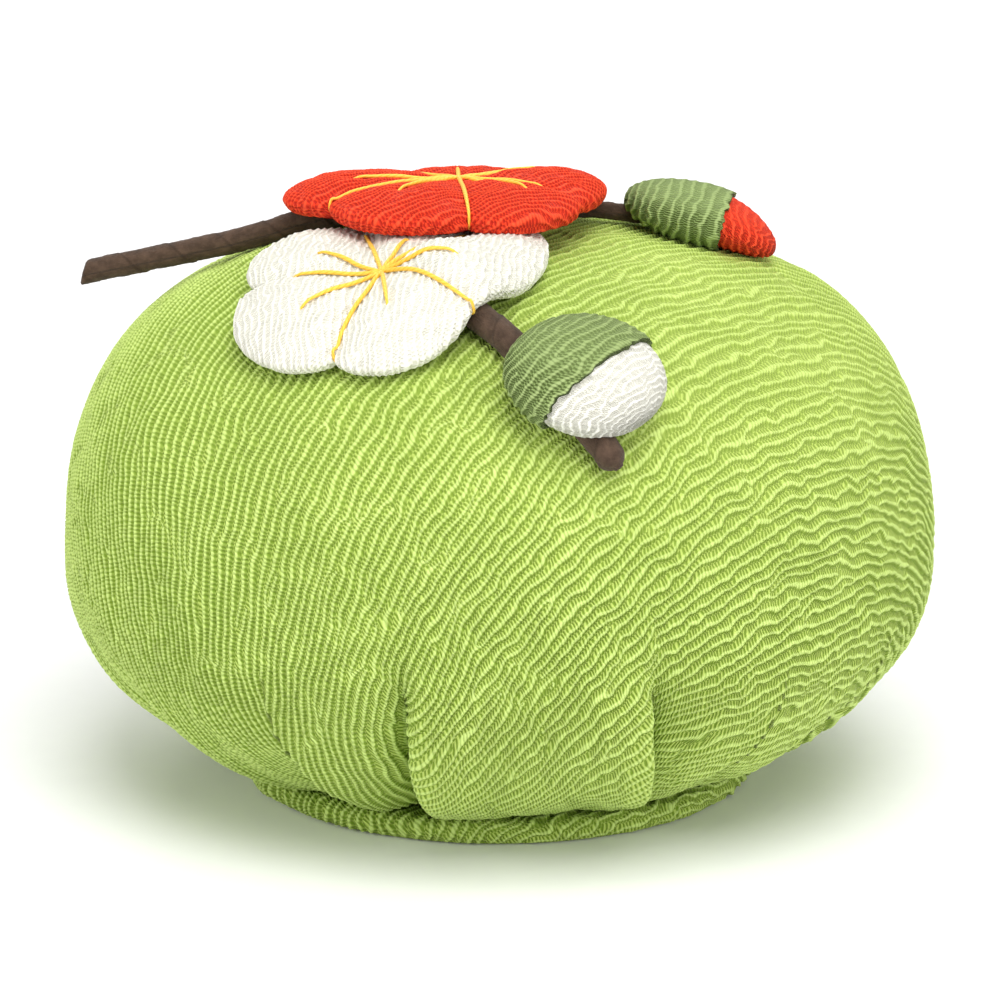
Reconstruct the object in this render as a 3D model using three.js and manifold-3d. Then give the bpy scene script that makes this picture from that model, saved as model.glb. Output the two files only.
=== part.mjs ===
// A crepe pin cushion: a stuffed bun on a covered card base, trimmed with a plum branch, two puffed
// plum blossoms and two buds. Millimetres, +Z up, origin at the middle of the flat underside of the base.
import * as THREE from "three";
import { mergeVertices } from "three/addons/utils/BufferGeometryUtils.js";
import Module from "manifold-3d";

const wasm = await Module();
wasm.setup();

// ---- driving dimensions -------------------------------------------------------------------------

const CLOTH = 0.5; // thickness of the crepe
const GAP = 0.25; // clearance between touching pieces

// The bun is a body of revolution: a flattened superellipse above the waist, a rounder one below it.
const BUN_RADIUS = 40;
const WAIST_HEIGHT = 21.1;
const CROWN_RISE = 30.5; // from the waist up to the top
const CROWN_POWER = 2.66;
const UNDER_DROP = 22.8; // from the waist down, before the underside cuts it off
const UNDER_POWER = 1.98;
const GATHER_HOLE_RADIUS = 5.5;
const GATHER_THREAD_RADIUS = 0.35;

const BASE_RADIUS = 23.8;
const BASE_THICKNESS = 2.3;
const BASE_TURN_IN_RADIUS = 17; // the cover's edge is turned in as far as this over the card

const WIRE_RADIUS = 0.45;
const MAIN_BRANCH_RADIUS = 1.1;
const SIDE_BRANCH_RADIUS = 1.3;
const MAIN_BRANCH_OVERHANG = { x: -38.2, y: 3.2, z: 46.7 }; // middle of its free cut end
const MAIN_BRANCH_REST = [[-24, 3.4], [-17, 3.3], [-10, 3.1], [0, 2.9], [9, 2.4], [15.5, 1.9]];
const SIDE_BRANCH_REST = [[-5.5, -20.5], [-1.8, -25.2], [1.8, -29.2], [7.2, -34], [9.8, -35.4]];

const BLOSSOM_THICKNESS = 2.9;
const BLOSSOM_RIM_HEIGHT = 1.3; // height at which a blossom is widest
const NOTCH_RADIUS = 11.3; // from the middle of a blossom to the notches between its petals
const STITCH_RADIUS = 0.35;
const TIE_START = 1.6; // the long stitches start so far from a blossom's middle, the short ones further
const STAMEN_START = 2.8;

// A petal lies between its own notch angle and the next one's, in degrees from +X, and reaches so far
// from the middle. Its short stitch lies a share of the way across it, and is so long.
const WHITE_BLOSSOM = {
  name: "white",
  colour: "#faf9ea",
  middle: [-10.3, -17.3],
  petals: [
    { notch: -46, reach: 14.7, across: 0.78, length: 7.5 },
    { notch: 41, reach: 14, across: 0.53, length: 6.5 },
    { notch: 105, reach: 15, across: 0.46, length: 7 },
    { notch: 170, reach: 13.8, across: 0.63, length: 9 },
    { notch: 252, reach: 14, across: 0.34, length: 6 },
  ],
};
const RED_BLOSSOM = {
  name: "red",
  colour: "#f14e32",
  middle: [-4.3, 0.5],
  petals: [
    { notch: -30, reach: 13.8, across: 0.44, length: 8 },
    { notch: 50, reach: 14, across: 0.5, length: 7 },
    { notch: 132, reach: 15.4, across: 0.47, length: 9 },
    { notch: 208, reach: 14.2, across: 0.47, length: 7 },
    { notch: 276, reach: 14, across: 0.54, length: 7 },
  ],
};
// The red blossom lies on the white one's far petals and presses them flat.
const PRESSED_FROM_Y = -15;
const PRESSED_TO_Y = -9;
const PRESSED_SHARE = 0.62; // of the full thickness that is left
const RED_FRONT_Y = -2; // in front of this the red blossom lies on the white one
const RED_BACK_Y = 15; // here its back edge lies on the bun

// A bud is an egg lying on the bun, with its calyx over the stalk end.
const WHITE_BUD = {
  name: "white",
  colour: "#f7f6eb",
  middle: [7.25, -31.7],
  heading: -45,
  length: 14.4,
  width: 12.8,
  height: 7.4,
  seam: 0.2, // how far past its middle the calyx reaches, as a share of half its length
};
const RED_BUD = {
  name: "red",
  colour: "#f14e32",
  middle: [18.2, 1.2],
  heading: -8,
  length: 14.2,
  width: 11,
  height: 6,
  seam: 0.35,
};

const BUD_REST = 0.42; // how far out from the bun a bud's middle lies, as a share of its height

const GREEN = "#bad46a";
const SAGE = "#95a466";
const BARK = "#60533b";
const YARN = "#fad953";
const COTTON = "#f4f1e8";

const ROUND_SEGMENTS = 36;
const BLOSSOM_SEGMENTS = 40; // a multiple of the petals, so that each notch has its own
const BUD_SEGMENTS = 16;
const WRAP_SIDES = 8;
const WIRE_SIDES = 6;
const THREAD_SIDES = 6;
const STITCH_SIDES = 5;

// ---- the bun's surface --------------------------------------------------------------------------

/** Height of the bun's upper surface above the point (x, y). */
function crownHeight(x, y) {
  const share = Math.min(Math.hypot(x, y) / BUN_RADIUS, 1);
  return WAIST_HEIGHT + CROWN_RISE * (1 - share ** CROWN_POWER) ** (1 / CROWN_POWER);
}

/** Direction straight out of the bun above the point (x, y). */
function crownNormal(x, y) {
  const reach = 0.05;
  const slopeX = (crownHeight(x + reach, y) - crownHeight(x - reach, y)) / (2 * reach);
  const slopeY = (crownHeight(x, y + reach) - crownHeight(x, y - reach)) / (2 * reach);
  return new THREE.Vector3(-slopeX, -slopeY, 1).normalize();
}

/** The point at a height straight out from the bun's surface, above the plan point (x, y). */
function overCrown(x, y, height) {
  const foot = new THREE.Vector3(x, y, crownHeight(x, y));
  return foot.addScaledVector(crownNormal(x, y), height);
}

/** The plan point reached by walking a distance over the bun's surface from a plan point. */
function walkOverCrown([startX, startY], angle, distance) {
  const steps = 12;
  const ahead = new THREE.Vector3(Math.cos(angle), Math.sin(angle), 0);
  const place = { x: startX, y: startY };
  for (let step = 0; step < steps; step += 1) {
    const normal = crownNormal(place.x, place.y);
    const rise = -normal.dot(ahead) / normal.z;
    const stride = distance / steps / Math.hypot(1, rise);
    place.x += ahead.x * stride;
    place.y += ahead.y * stride;
  }
  return place;
}

// ---- geometry helpers ---------------------------------------------------------------------------

/** A body of revolution about Z. Its profile of [radius, height] has the material on its left. */
function turned(profile, segments = ROUND_SEGMENTS) {
  const points = profile.map(([radius, height]) => new THREE.Vector2(radius, height));
  return new THREE.LatheGeometry(points, segments).rotateX(Math.PI / 2);
}

/** A round rod along a curve. */
function rod(curve, radius, sides, steps) {
  const section = new THREE.Shape();
  for (let side = 0; side < sides; side += 1) {
    const turn = (2 * Math.PI * side) / sides;
    const place = [radius * Math.cos(turn), radius * Math.sin(turn)];
    if (side === 0) section.moveTo(...place);
    else section.lineTo(...place);
  }
  section.closePath();
  return new THREE.ExtrudeGeometry(section, { steps, extrudePath: curve, bevelEnabled: false });
}

/** The closed solid that manifold-3d works on. */
function toSolid(geometry) {
  const bare = geometry.clone();
  bare.deleteAttribute("normal");
  bare.deleteAttribute("uv");
  const welded = mergeVertices(bare, 1e-4);
  const vertProperties = new Float32Array(welded.attributes.position.array);
  const corners = [];
  for (let start = 0; start < welded.index.count; start += 3) {
    const [a, b, c] = [0, 1, 2].map((corner) => welded.index.getX(start + corner));
    if (a !== b && b !== c && c !== a) corners.push(a, b, c);
  }
  const triVerts = new Uint32Array(corners);
  return new wasm.Manifold(new wasm.Mesh({ numProp: 3, vertProperties, triVerts }));
}

/** The largest body that is left of a geometry when the others are cut out of it. */
function cut(geometry, ...others) {
  let solid = toSolid(geometry);
  for (const other of others) {
    solid = solid.subtract(toSolid(other));
  }
  const largestFirst = solid.decompose().sort((one, two) => two.volume() - one.volume());
  const mesh = largestFirst[0].getMesh();
  const result = new THREE.BufferGeometry();
  result.setAttribute("position", new THREE.BufferAttribute(mesh.vertProperties, mesh.numProp));
  result.setIndex(new THREE.BufferAttribute(mesh.triVerts, 1));
  result.computeVertexNormals();
  return result;
}

function part(name, geometry, color, roughness = 0.9, metalness = 0) {
  const mesh = new THREE.Mesh(geometry, new THREE.MeshStandardMaterial({ color, roughness, metalness }));
  mesh.name = name;
  return mesh;
}

function radians(degrees) {
  return THREE.MathUtils.degToRad(degrees);
}

// ---- the base -----------------------------------------------------------------------------------

function baseCover() {
  const corner = BASE_THICKNESS / 2;
  const profile = [[0, 0]];
  const cornerSteps = 4;
  for (let step = 0; step <= cornerSteps; step += 1) {
    const turn = (Math.PI * step) / cornerSteps - Math.PI / 2;
    profile.push([BASE_RADIUS - corner + corner * Math.cos(turn), corner + corner * Math.sin(turn)]);
  }
  profile.push([BASE_TURN_IN_RADIUS, BASE_THICKNESS]);
  profile.push([BASE_TURN_IN_RADIUS, BASE_THICKNESS - CLOTH]);
  profile.push([BASE_RADIUS - corner, BASE_THICKNESS - CLOTH]);
  profile.push([BASE_RADIUS - corner, CLOTH]);
  profile.push([0, CLOTH]);
  return turned(profile);
}

function baseCard() {
  const radius = BASE_RADIUS - BASE_THICKNESS / 2 - GAP;
  const bottom = CLOTH + GAP;
  const top = BASE_THICKNESS - CLOTH - GAP;
  return turned([[0, bottom], [radius, bottom], [radius, top], [0, top]]);
}

// ---- the bun ------------------------------------------------------------------------------------

/** The bun's section from the edge of its underside up to its waist, drawn in by an inset. */
function underSection(inset) {
  const steps = 6;
  const bottom = BASE_THICKNESS + GAP + inset;
  const drop = UNDER_DROP - inset;
  const lowest = Math.asin(((WAIST_HEIGHT - bottom) / drop) ** (UNDER_POWER / 2));
  const section = [];
  for (let step = 0; step < steps; step += 1) {
    const turn = lowest * (1 - step / steps);
    const radius = (BUN_RADIUS - inset) * Math.cos(turn) ** (2 / UNDER_POWER);
    section.push([radius, WAIST_HEIGHT - drop * Math.sin(turn) ** (2 / UNDER_POWER)]);
  }
  return section;
}

/** The bun's section from its waist up to its top, drawn in by an inset. */
function crownSection(inset) {
  const steps = 11;
  const rise = CROWN_RISE - inset;
  const section = [];
  for (let step = 0; step < steps; step += 1) {
    const turn = (Math.PI / 2) * (step / steps);
    const radius = (BUN_RADIUS - inset) * Math.cos(turn) ** (2 / CROWN_POWER);
    section.push([radius, WAIST_HEIGHT + rise * Math.sin(turn) ** (2 / CROWN_POWER)]);
  }
  section.push([0, WAIST_HEIGHT + rise]);
  return section;
}

function bunSection(inset) {
  return [...underSection(inset), ...crownSection(inset)];
}

function cushionCover() {
  const outside = bunSection(0);
  const inside = bunSection(CLOTH).reverse();
  const holeEdge = [
    [GATHER_HOLE_RADIUS, inside.at(-1)[1]],
    [GATHER_HOLE_RADIUS, outside[0][1]],
  ];
  return turned([...inside, ...holeEdge, ...outside]);
}

function cushionStuffing() {
  const outside = bunSection(CLOTH + GAP);
  return turned([[0, outside[0][1]], ...outside]);
}

function gatheringThread() {
  const ringRadius = GATHER_HOLE_RADIUS - GAP - GATHER_THREAD_RADIUS;
  const segments = 24;
  return new THREE.TorusGeometry(ringRadius, GATHER_THREAD_RADIUS, THREAD_SIDES, segments);
}

function bun() {
  const group = new THREE.Group();
  const thread = part("gathering_thread", gatheringThread(), "#dfe8b8");
  thread.position.z = BASE_THICKNESS;
  group.add(
    part("cushion_cover", cushionCover(), GREEN),
    part("cushion_stuffing", cushionStuffing(), COTTON),
    thread,
  );
  return group;
}

function base() {
  const group = new THREE.Group();
  group.add(part("base_cover", baseCover(), "#899f4e"), part("base_card", baseCard(), "#b9a27c"));
  return group;
}

// ---- the branches -------------------------------------------------------------------------------

function restingPoints(plan, radius) {
  return plan.map(([x, y]) => overCrown(x, y, radius + GAP));
}

function mainBranchPath() {
  const end = new THREE.Vector3(MAIN_BRANCH_OVERHANG.x, MAIN_BRANCH_OVERHANG.y, MAIN_BRANCH_OVERHANG.z);
  return new THREE.CatmullRomCurve3([end, ...restingPoints(MAIN_BRANCH_REST, MAIN_BRANCH_RADIUS)]);
}

/** The side branch runs from its blunt free end up to where the white blossom hides it. */
function sideBranchPath() {
  return new THREE.CatmullRomCurve3(restingPoints(SIDE_BRANCH_REST, SIDE_BRANCH_RADIUS).reverse());
}

/** The stretch of a path between two distances from its start; one past its end runs straight on. */
function stretch(path, from, to, count = 12) {
  const length = path.getLength();
  const points = [];
  for (let step = 0; step <= count; step += 1) {
    const along = from + ((to - from) * step) / count;
    const point = path.getPointAt(Math.min(along / length, 1));
    const over = Math.max(along - length, 0);
    points.push(point.addScaledVector(path.getTangentAt(1), over));
  }
  return new THREE.CatmullRomCurve3(points);
}

/** Paper tape wound round a wire: closed over the free end, open at the hidden one. */
function branchWrap(path, radius, steps) {
  const endCover = 1.2;
  const pastTheEnd = 1;
  const bore = stretch(path, endCover, path.getLength() + pastTheEnd);
  return cut(rod(path, radius, WRAP_SIDES, steps), rod(bore, WIRE_RADIUS + GAP, WIRE_SIDES, steps));
}

function branchWire(path, steps) {
  const endCover = 1.6;
  return rod(stretch(path, endCover, path.getLength() - GAP), WIRE_RADIUS, WIRE_SIDES, steps);
}

function branch(name, path, radius, steps) {
  const group = new THREE.Group();
  group.add(
    part(`${name}_wrap`, branchWrap(path, radius, steps), BARK, 0.85),
    part(`${name}_wire`, branchWire(path, steps), "#a9abad", 0.35, 0.9),
  );
  return group;
}

// ---- the blossoms -------------------------------------------------------------------------------

/** How far a point of the plan is from the side branch where the white blossom hides it. */
function distanceToSideBranch(x, y) {
  const hidden = SIDE_BRANCH_REST.slice(0, 3).map(([px, py]) => new THREE.Vector3(px, py, 0));
  const here = new THREE.Vector3(x, y, 0);
  const near = new THREE.Vector3();
  const distances = [0, 1].map((index) => {
    new THREE.Line3(hidden[index], hidden[index + 1]).closestPointToPoint(here, true, near);
    return near.distanceTo(here);
  });
  return Math.min(...distances);
}

/** The white blossom lies on the bun, is lifted over the side branch and pressed by the red one. */
const whiteLie = {
  rest(x, y) {
    const clearance = 1.2 * GAP;
    const lift = 2 * SIDE_BRANCH_RADIUS + GAP;
    const spread = 3.4;
    return clearance + lift * Math.exp(-((distanceToSideBranch(x, y) / spread) ** 2) / 2);
  },
  fullness(x, y) {
    const pressed = THREE.MathUtils.smoothstep(y, PRESSED_FROM_Y, PRESSED_TO_Y);
    return THREE.MathUtils.lerp(1, PRESSED_SHARE, pressed);
  },
};

/** The red blossom lies on the bun at the back, on the main branch, and on the white one in front. */
const redLie = {
  rest(x, y) {
    const front = PRESSED_SHARE * BLOSSOM_THICKNESS + 2 * STITCH_RADIUS + 4 * GAP;
    const back = 2 * GAP;
    const share = THREE.MathUtils.smoothstep(y, RED_FRONT_Y, RED_BACK_Y);
    return THREE.MathUtils.lerp(front, back, share);
  },
  fullness() {
    return 1;
  },
};

/** The direction and reach of a blossom's outline at a share of the way across one of its petals. */
function petalOutline(petals, index, across) {
  const petal = petals[index];
  const next = petals[(index + 1) % petals.length];
  const span = THREE.MathUtils.euclideanModulo(next.notch - petal.notch, 360);
  const bulge = Math.sqrt(Math.sin(Math.PI * across));
  return {
    angle: radians(petal.notch + span * across),
    reach: NOTCH_RADIUS + (petal.reach - NOTCH_RADIUS) * bulge,
  };
}

/** Height of a blossom's rounded top at a share of the way from its middle to its outline. */
function blossomTop(share) {
  const dome = Math.sqrt(Math.max(1 - share ** 3, 0));
  return THREE.MathUtils.lerp(BLOSSOM_RIM_HEIGHT, BLOSSOM_THICKNESS, dome);
}

/** A blossom's own point, as it lies on the bun; a clearance is added over its pressed height. */
function bentOver(blossom, lie, angle, distance, height, clearance = 0) {
  const { x, y } = walkOverCrown(blossom.middle, angle, distance);
  const point = overCrown(x, y, lie.rest(x, y) + height * lie.fullness(x, y) + clearance);
  return point.sub(blossomOrigin(blossom));
}

function blossomOrigin(blossom) {
  const [x, y] = blossom.middle;
  return new THREE.Vector3(x, y, crownHeight(x, y));
}

/** A body lobed like the blossom and bent over the bun; its profile is [share of the reach, height]. */
function blossomBody(blossom, lie, profile) {
  const count = blossom.petals.length;
  const geometry = turned(profile, BLOSSOM_SEGMENTS);
  const position = geometry.attributes.position;
  for (let index = 0; index < position.count; index += 1) {
    const segment = Math.floor(index / profile.length) % BLOSSOM_SEGMENTS;
    const petal = (segment / BLOSSOM_SEGMENTS) * count;
    const { angle, reach } = petalOutline(blossom.petals, Math.floor(petal), petal % 1);
    const [share, height] = profile[index % profile.length];
    const place = bentOver(blossom, lie, angle, share * reach, height);
    position.setXYZ(index, place.x, place.y, place.z);
  }
  geometry.computeVertexNormals();
  return geometry;
}

const RINGS = [0.3, 0.6, 0.86]; // shares of the reach at which a blossom's layers bend
const FRONT_WALL = 0.95;
const LIP_EDGE = 0.985;
const BACK_EDGE = 0.92;
const PADDING_EDGE = 0.9;

/** Front cloth: over the top and round the rim, open underneath. */
function blossomFront(blossom, lie) {
  const lip = CLOTH + GAP;
  const inside = RINGS.map((share) => [share, blossomTop(share) - CLOTH]);
  const outside = RINGS.map((share) => [share, blossomTop(share)]).reverse();
  return blossomBody(blossom, lie, [
    [0, BLOSSOM_THICKNESS - CLOTH],
    ...inside,
    [FRONT_WALL, BLOSSOM_RIM_HEIGHT],
    [FRONT_WALL, lip],
    [LIP_EDGE, lip],
    [1, BLOSSOM_RIM_HEIGHT],
    [FRONT_WALL, blossomTop(FRONT_WALL)],
    ...outside,
    [0, BLOSSOM_THICKNESS],
  ]);
}

function blossomBack(blossom, lie) {
  const below = RINGS.map((share) => [share, 0]);
  const above = RINGS.map((share) => [share, CLOTH]).reverse();
  return blossomBody(blossom, lie, [
    [0, 0],
    ...below,
    [BACK_EDGE, 0],
    [BACK_EDGE, CLOTH],
    ...above,
    [0, CLOTH],
  ]);
}

function blossomPadding(blossom, lie) {
  const bottom = CLOTH + GAP;
  const drop = CLOTH + GAP;
  const below = RINGS.map((share) => [share, bottom]);
  const above = RINGS.map((share) => [share, blossomTop(share) - drop]).reverse();
  return blossomBody(blossom, lie, [
    [0, bottom],
    ...below,
    [PADDING_EDGE, bottom],
    [PADDING_EDGE, BLOSSOM_RIM_HEIGHT - GAP],
    ...above,
    [0, BLOSSOM_THICKNESS - drop],
  ]);
}

/** Points of a stitch over the top of a blossom, between two distances from its middle. */
function stitchPoints(blossom, lie, { angle, reach }, from, to) {
  const steps = 5;
  const points = [];
  for (let step = 0; step <= steps; step += 1) {
    const distance = THREE.MathUtils.lerp(from, to, step / steps);
    const height = blossomTop(distance / reach);
    points.push(bentOver(blossom, lie, angle, distance, height, GAP + STITCH_RADIUS));
  }
  return points;
}

/** A long stitch runs out to a notch and down over the rim. */
function petalTie(blossom, lie, index) {
  const steps = 10;
  const endHeight = 0.6 * BLOSSOM_RIM_HEIGHT;
  const outline = petalOutline(blossom.petals, index, 0);
  const points = stitchPoints(blossom, lie, outline, TIE_START, NOTCH_RADIUS - GAP);
  const outside = NOTCH_RADIUS + 1.4 * GAP + STITCH_RADIUS;
  points.push(bentOver(blossom, lie, outline.angle, outside, BLOSSOM_RIM_HEIGHT, STITCH_RADIUS));
  points.push(bentOver(blossom, lie, outline.angle, outside, endHeight));
  return rod(new THREE.CatmullRomCurve3(points), STITCH_RADIUS, STITCH_SIDES, steps);
}

/** A short stitch lies over the middle of a petal. */
function stamen(blossom, lie, index) {
  const steps = 6;
  const petal = blossom.petals[index];
  const outline = petalOutline(blossom.petals, index, petal.across);
  const points = stitchPoints(blossom, lie, outline, STAMEN_START, petal.length);
  return rod(new THREE.CatmullRomCurve3(points), STITCH_RADIUS, STITCH_SIDES, steps);
}

function blossom(spec, lie) {
  const group = new THREE.Group();
  group.position.copy(blossomOrigin(spec));
  group.add(
    part(`${spec.name}_blossom_front`, blossomFront(spec, lie), spec.colour),
    part(`${spec.name}_blossom_back`, blossomBack(spec, lie), spec.colour),
    part(`${spec.name}_blossom_padding`, blossomPadding(spec, lie), COTTON),
  );
  spec.petals.forEach((petal, index) => {
    group.add(part(`${spec.name}_petal_tie_${index + 1}`, petalTie(spec, lie, index), YARN, 0.6));
    group.add(part(`${spec.name}_stamen_${index + 1}`, stamen(spec, lie, index), YARN, 0.6));
  });
  return group;
}

// ---- the buds -----------------------------------------------------------------------------------

/** Where a bud lies: its own +X runs from stalk to tip along the bun, its own +Z points off the bun. */
function budPlacement(bud) {
  const [x, y] = bud.middle;
  const out = crownNormal(x, y);
  const heading = new THREE.Vector3(Math.cos(radians(bud.heading)), Math.sin(radians(bud.heading)), 0);
  const ahead = heading.addScaledVector(out, -heading.dot(out)).normalize();
  const across = out.clone().cross(ahead);
  const placement = new THREE.Matrix4().makeBasis(ahead, across, out);
  return placement.setPosition(overCrown(x, y, BUD_REST * bud.height));
}

/** An egg-shaped body about the bud's own +X, from a profile of [radius, distance along]. */
function budBody(bud, profile) {
  const geometry = turned(profile, BUD_SEGMENTS).rotateY(Math.PI / 2);
  return geometry.scale(1, bud.width / bud.height, 1);
}

/** A stretch of the bud's section between two turns of its ellipse, drawn in by an inset. */
function budArc(bud, inset, from, to, steps) {
  const arc = [];
  for (let step = 0; step <= steps; step += 1) {
    const turn = from + ((to - from) * step) / steps;
    const radius = (bud.height / 2 - inset) * Math.sin(turn);
    arc.push([Math.abs(radius) < 1e-9 ? 0 : radius, -(bud.length / 2 - inset) * Math.cos(turn)]);
  }
  return arc;
}

/** The calyx is a cup over the stalk end; the petal cup is tucked a little way into it. */
function budPieces(bud) {
  const rim = Math.acos(-bud.seam);
  const tuck = 0.35;
  const steps = 6;
  const paddingSteps = 8;
  const calyxInside = budArc(bud, CLOTH, 0, rim, steps);
  const calyxOutside = budArc(bud, 0, 0, rim, steps);
  const petalInset = CLOTH + GAP;
  const petalOutside = budArc(bud, petalInset, rim - tuck, Math.PI, steps);
  const petalInside = budArc(bud, petalInset + CLOTH, rim - tuck, Math.PI, steps);
  const padding = budArc(bud, petalInset + CLOTH + GAP, 0, Math.PI, paddingSteps);
  return {
    calyx: budBody(bud, [...calyxOutside, ...calyxInside.reverse()]),
    petal: budBody(bud, [...petalInside.reverse(), ...petalOutside]),
    padding: budBody(bud, padding),
  };
}

function budGroup(bud, branches) {
  const placement = budPlacement(bud);
  const toBud = placement.clone().invert();
  const bunWithGap = turned([[0, WAIST_HEIGHT], ...crownSection(-GAP)]).applyMatrix4(toBud);
  const tools = [bunWithGap, ...branches.map((branchBody) => branchBody.clone().applyMatrix4(toBud))];
  const pieces = budPieces(bud);
  const group = new THREE.Group();
  group.applyMatrix4(placement);
  group.add(
    part(`${bud.name}_bud_calyx`, cut(pieces.calyx, ...tools), SAGE),
    part(`${bud.name}_bud_petal`, cut(pieces.petal, ...tools), bud.colour),
    part(`${bud.name}_bud_padding`, cut(pieces.padding, ...tools), COTTON),
  );
  return group;
}

// ---- the whole pin cushion ----------------------------------------------------------------------

/** The room a branch takes up, a little larger all round and a little longer than its wrapping. */
function branchRoom(path, radius, steps) {
  const longer = 1;
  return rod(stretch(path, 0, path.getLength() + longer), radius + GAP, WRAP_SIDES, steps);
}

const mainPath = mainBranchPath();
const sidePath = sideBranchPath();
const mainRoom = branchRoom(mainPath, MAIN_BRANCH_RADIUS, 24);
const sideRoom = branchRoom(sidePath, SIDE_BRANCH_RADIUS, 16);

const pinCushion = new THREE.Group();
pinCushion.add(
  base(),
  bun(),
  branch("main_branch", mainPath, MAIN_BRANCH_RADIUS, 20),
  branch("side_branch", sidePath, SIDE_BRANCH_RADIUS, 14),
  blossom(WHITE_BLOSSOM, whiteLie),
  blossom(RED_BLOSSOM, redLie),
  budGroup(WHITE_BUD, [sideRoom]),
  budGroup(RED_BUD, [mainRoom]),
);

export default pinCushion;
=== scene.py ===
"""Looks of a crepe pin cushion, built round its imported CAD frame. Lengths here are in millimetres
and are turned into metres when a mesh is made."""
import math

import bpy
import numpy as np
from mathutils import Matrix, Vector


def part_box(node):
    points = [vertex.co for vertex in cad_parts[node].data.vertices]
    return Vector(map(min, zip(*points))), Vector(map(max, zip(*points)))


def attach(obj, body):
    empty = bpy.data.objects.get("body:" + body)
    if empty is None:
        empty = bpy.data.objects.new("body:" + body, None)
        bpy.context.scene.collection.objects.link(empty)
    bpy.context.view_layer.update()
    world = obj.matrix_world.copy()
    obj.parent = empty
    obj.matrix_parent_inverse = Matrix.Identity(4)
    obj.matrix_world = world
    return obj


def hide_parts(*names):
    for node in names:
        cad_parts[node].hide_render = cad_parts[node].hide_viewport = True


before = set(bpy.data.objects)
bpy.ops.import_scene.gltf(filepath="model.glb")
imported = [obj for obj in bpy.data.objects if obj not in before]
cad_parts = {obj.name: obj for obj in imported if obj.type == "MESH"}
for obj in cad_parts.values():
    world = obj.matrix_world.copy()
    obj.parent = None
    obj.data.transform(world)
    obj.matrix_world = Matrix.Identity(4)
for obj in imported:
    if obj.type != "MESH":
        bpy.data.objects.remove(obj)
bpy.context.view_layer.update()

MM = 0.001
FULL_TURN = 2 * math.pi


def node_box(name):
    """A CAD node's lowest and highest corners, in millimetres."""
    low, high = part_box(name)
    return np.array(low) / MM, np.array(high) / MM


# ---- sizes ----

COVER_LOW, COVER_HIGH = node_box("cushion_cover")
BASE_LOW, BASE_HIGH = node_box("base_cover")
BUN_RADIUS = (COVER_HIGH[0] - COVER_LOW[0]) / 2
BUN_TOP = COVER_HIGH[2]
BASE_RADIUS = (BASE_HIGH[0] - BASE_LOW[0]) / 2
BASE_TOP = BASE_HIGH[2]

# The bun's section is a flattened superellipse above its waist and a rounder one below it.
WAIST_HEIGHT = 21.1
CROWN_RISE = BUN_TOP - WAIST_HEIGHT
CROWN_POWER = 2.66
UNDER_DROP = 22.8  # from the waist down, before the base cuts it off
UNDER_POWER = 1.98
CLOTH = 0.5  # thickness of the crepe
CLEARANCE = 0.25  # between touching pieces

# ---- numbers over arrays ----


def smoothstep(value, low, high):
    share = np.clip((value - low) / (high - low), 0, 1)
    return share * share * (3 - 2 * share)


def bell(value, width):
    return np.exp(-((value / width) ** 2))


def wrapped(angle):
    """An angle brought between minus and plus half a turn."""
    return (angle + math.pi) % FULL_TURN - math.pi


def unit(vectors):
    return vectors / np.maximum(np.linalg.norm(vectors, axis=-1, keepdims=True), 1e-9)


# ---- random cloth patterns ----


def filtered_noise(side, cell, seed, weight):
    """Complex noise over a square that repeats, keeping the waves that a weight lets through."""
    count = int(round(side / cell))
    rng = np.random.default_rng(seed)
    noise = rng.standard_normal((count, count)) + 1j * rng.standard_normal((count, count))
    waves = np.fft.fftfreq(count, d=cell)
    wave_x, wave_y = np.meshgrid(waves, waves, indexing="ij")
    field = np.fft.ifft2(noise * weight(wave_x, wave_y))
    return field / np.sqrt(np.mean(np.abs(field) ** 2))


def sampled(field, cell, places):
    """A repeating field's values at some places, blended between its cells."""
    grid = places / cell
    corner = np.floor(grid).astype(int)
    share = grid - corner
    count = len(field)
    x0, y0 = corner[:, 0] % count, corner[:, 1] % count
    x1, y1 = (x0 + 1) % count, (y0 + 1) % count
    sx, sy = share[:, 0], share[:, 1]
    near = field[x0, y0] * (1 - sx) + field[x1, y0] * sx
    far = field[x0, y1] * (1 - sx) + field[x1, y1] * sx
    return near * (1 - sy) + far * sy


def soft_noise(places, wavelength, seed):
    """Two independent soft noises of about unit size at some places of the cloth."""
    side = wavelength * 24

    def weight(wave_x, wave_y):
        return np.exp(-((np.hypot(wave_x, wave_y) * wavelength) ** 2) / 2)

    field = filtered_noise(side, wavelength / 8, seed, weight)
    values = sampled(field, wavelength / 8, places)
    return values.real, values.imag


RIDGE_SPREAD = 0.09
RIDGE_STRAYING = 0.1


def crepe_ridges(places, pitch, heading, waviness, seed):
    """The crepe's ridges as complex numbers: their angle runs once round from ridge to ridge.

    The ridges run along a heading; they wave, fork and end as their spread and straying allow.
    """
    along = np.array([math.cos(heading), math.sin(heading)])
    across = np.array([along[1], -along[0]])
    side = pitch * 192

    def weight(wave_x, wave_y):
        wave_across = (wave_x * across[0] + wave_y * across[1]) * pitch - 1
        wave_along = (wave_x * along[0] + wave_y * along[1]) * pitch
        return np.exp(-((wave_across / RIDGE_SPREAD) ** 2 + (wave_along / RIDGE_STRAYING) ** 2) / 2)

    cell = pitch / 8
    field = filtered_noise(side, cell, seed, weight)
    broad, _ = soft_noise(places, pitch * 5, seed + 1)
    fine, slip = soft_noise(places, pitch * 2.2, seed + 2)
    shift = np.outer(pitch * waviness * (0.3 * broad + 0.16 * fine), across)
    shift += np.outer(pitch * waviness * 0.1 * slip, along)
    ridges = sampled(field, cell, places + shift)
    strength = np.abs(ridges)
    return ridges / np.maximum(strength, 1e-6), np.clip(strength / 0.6, 0, 1)


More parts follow.
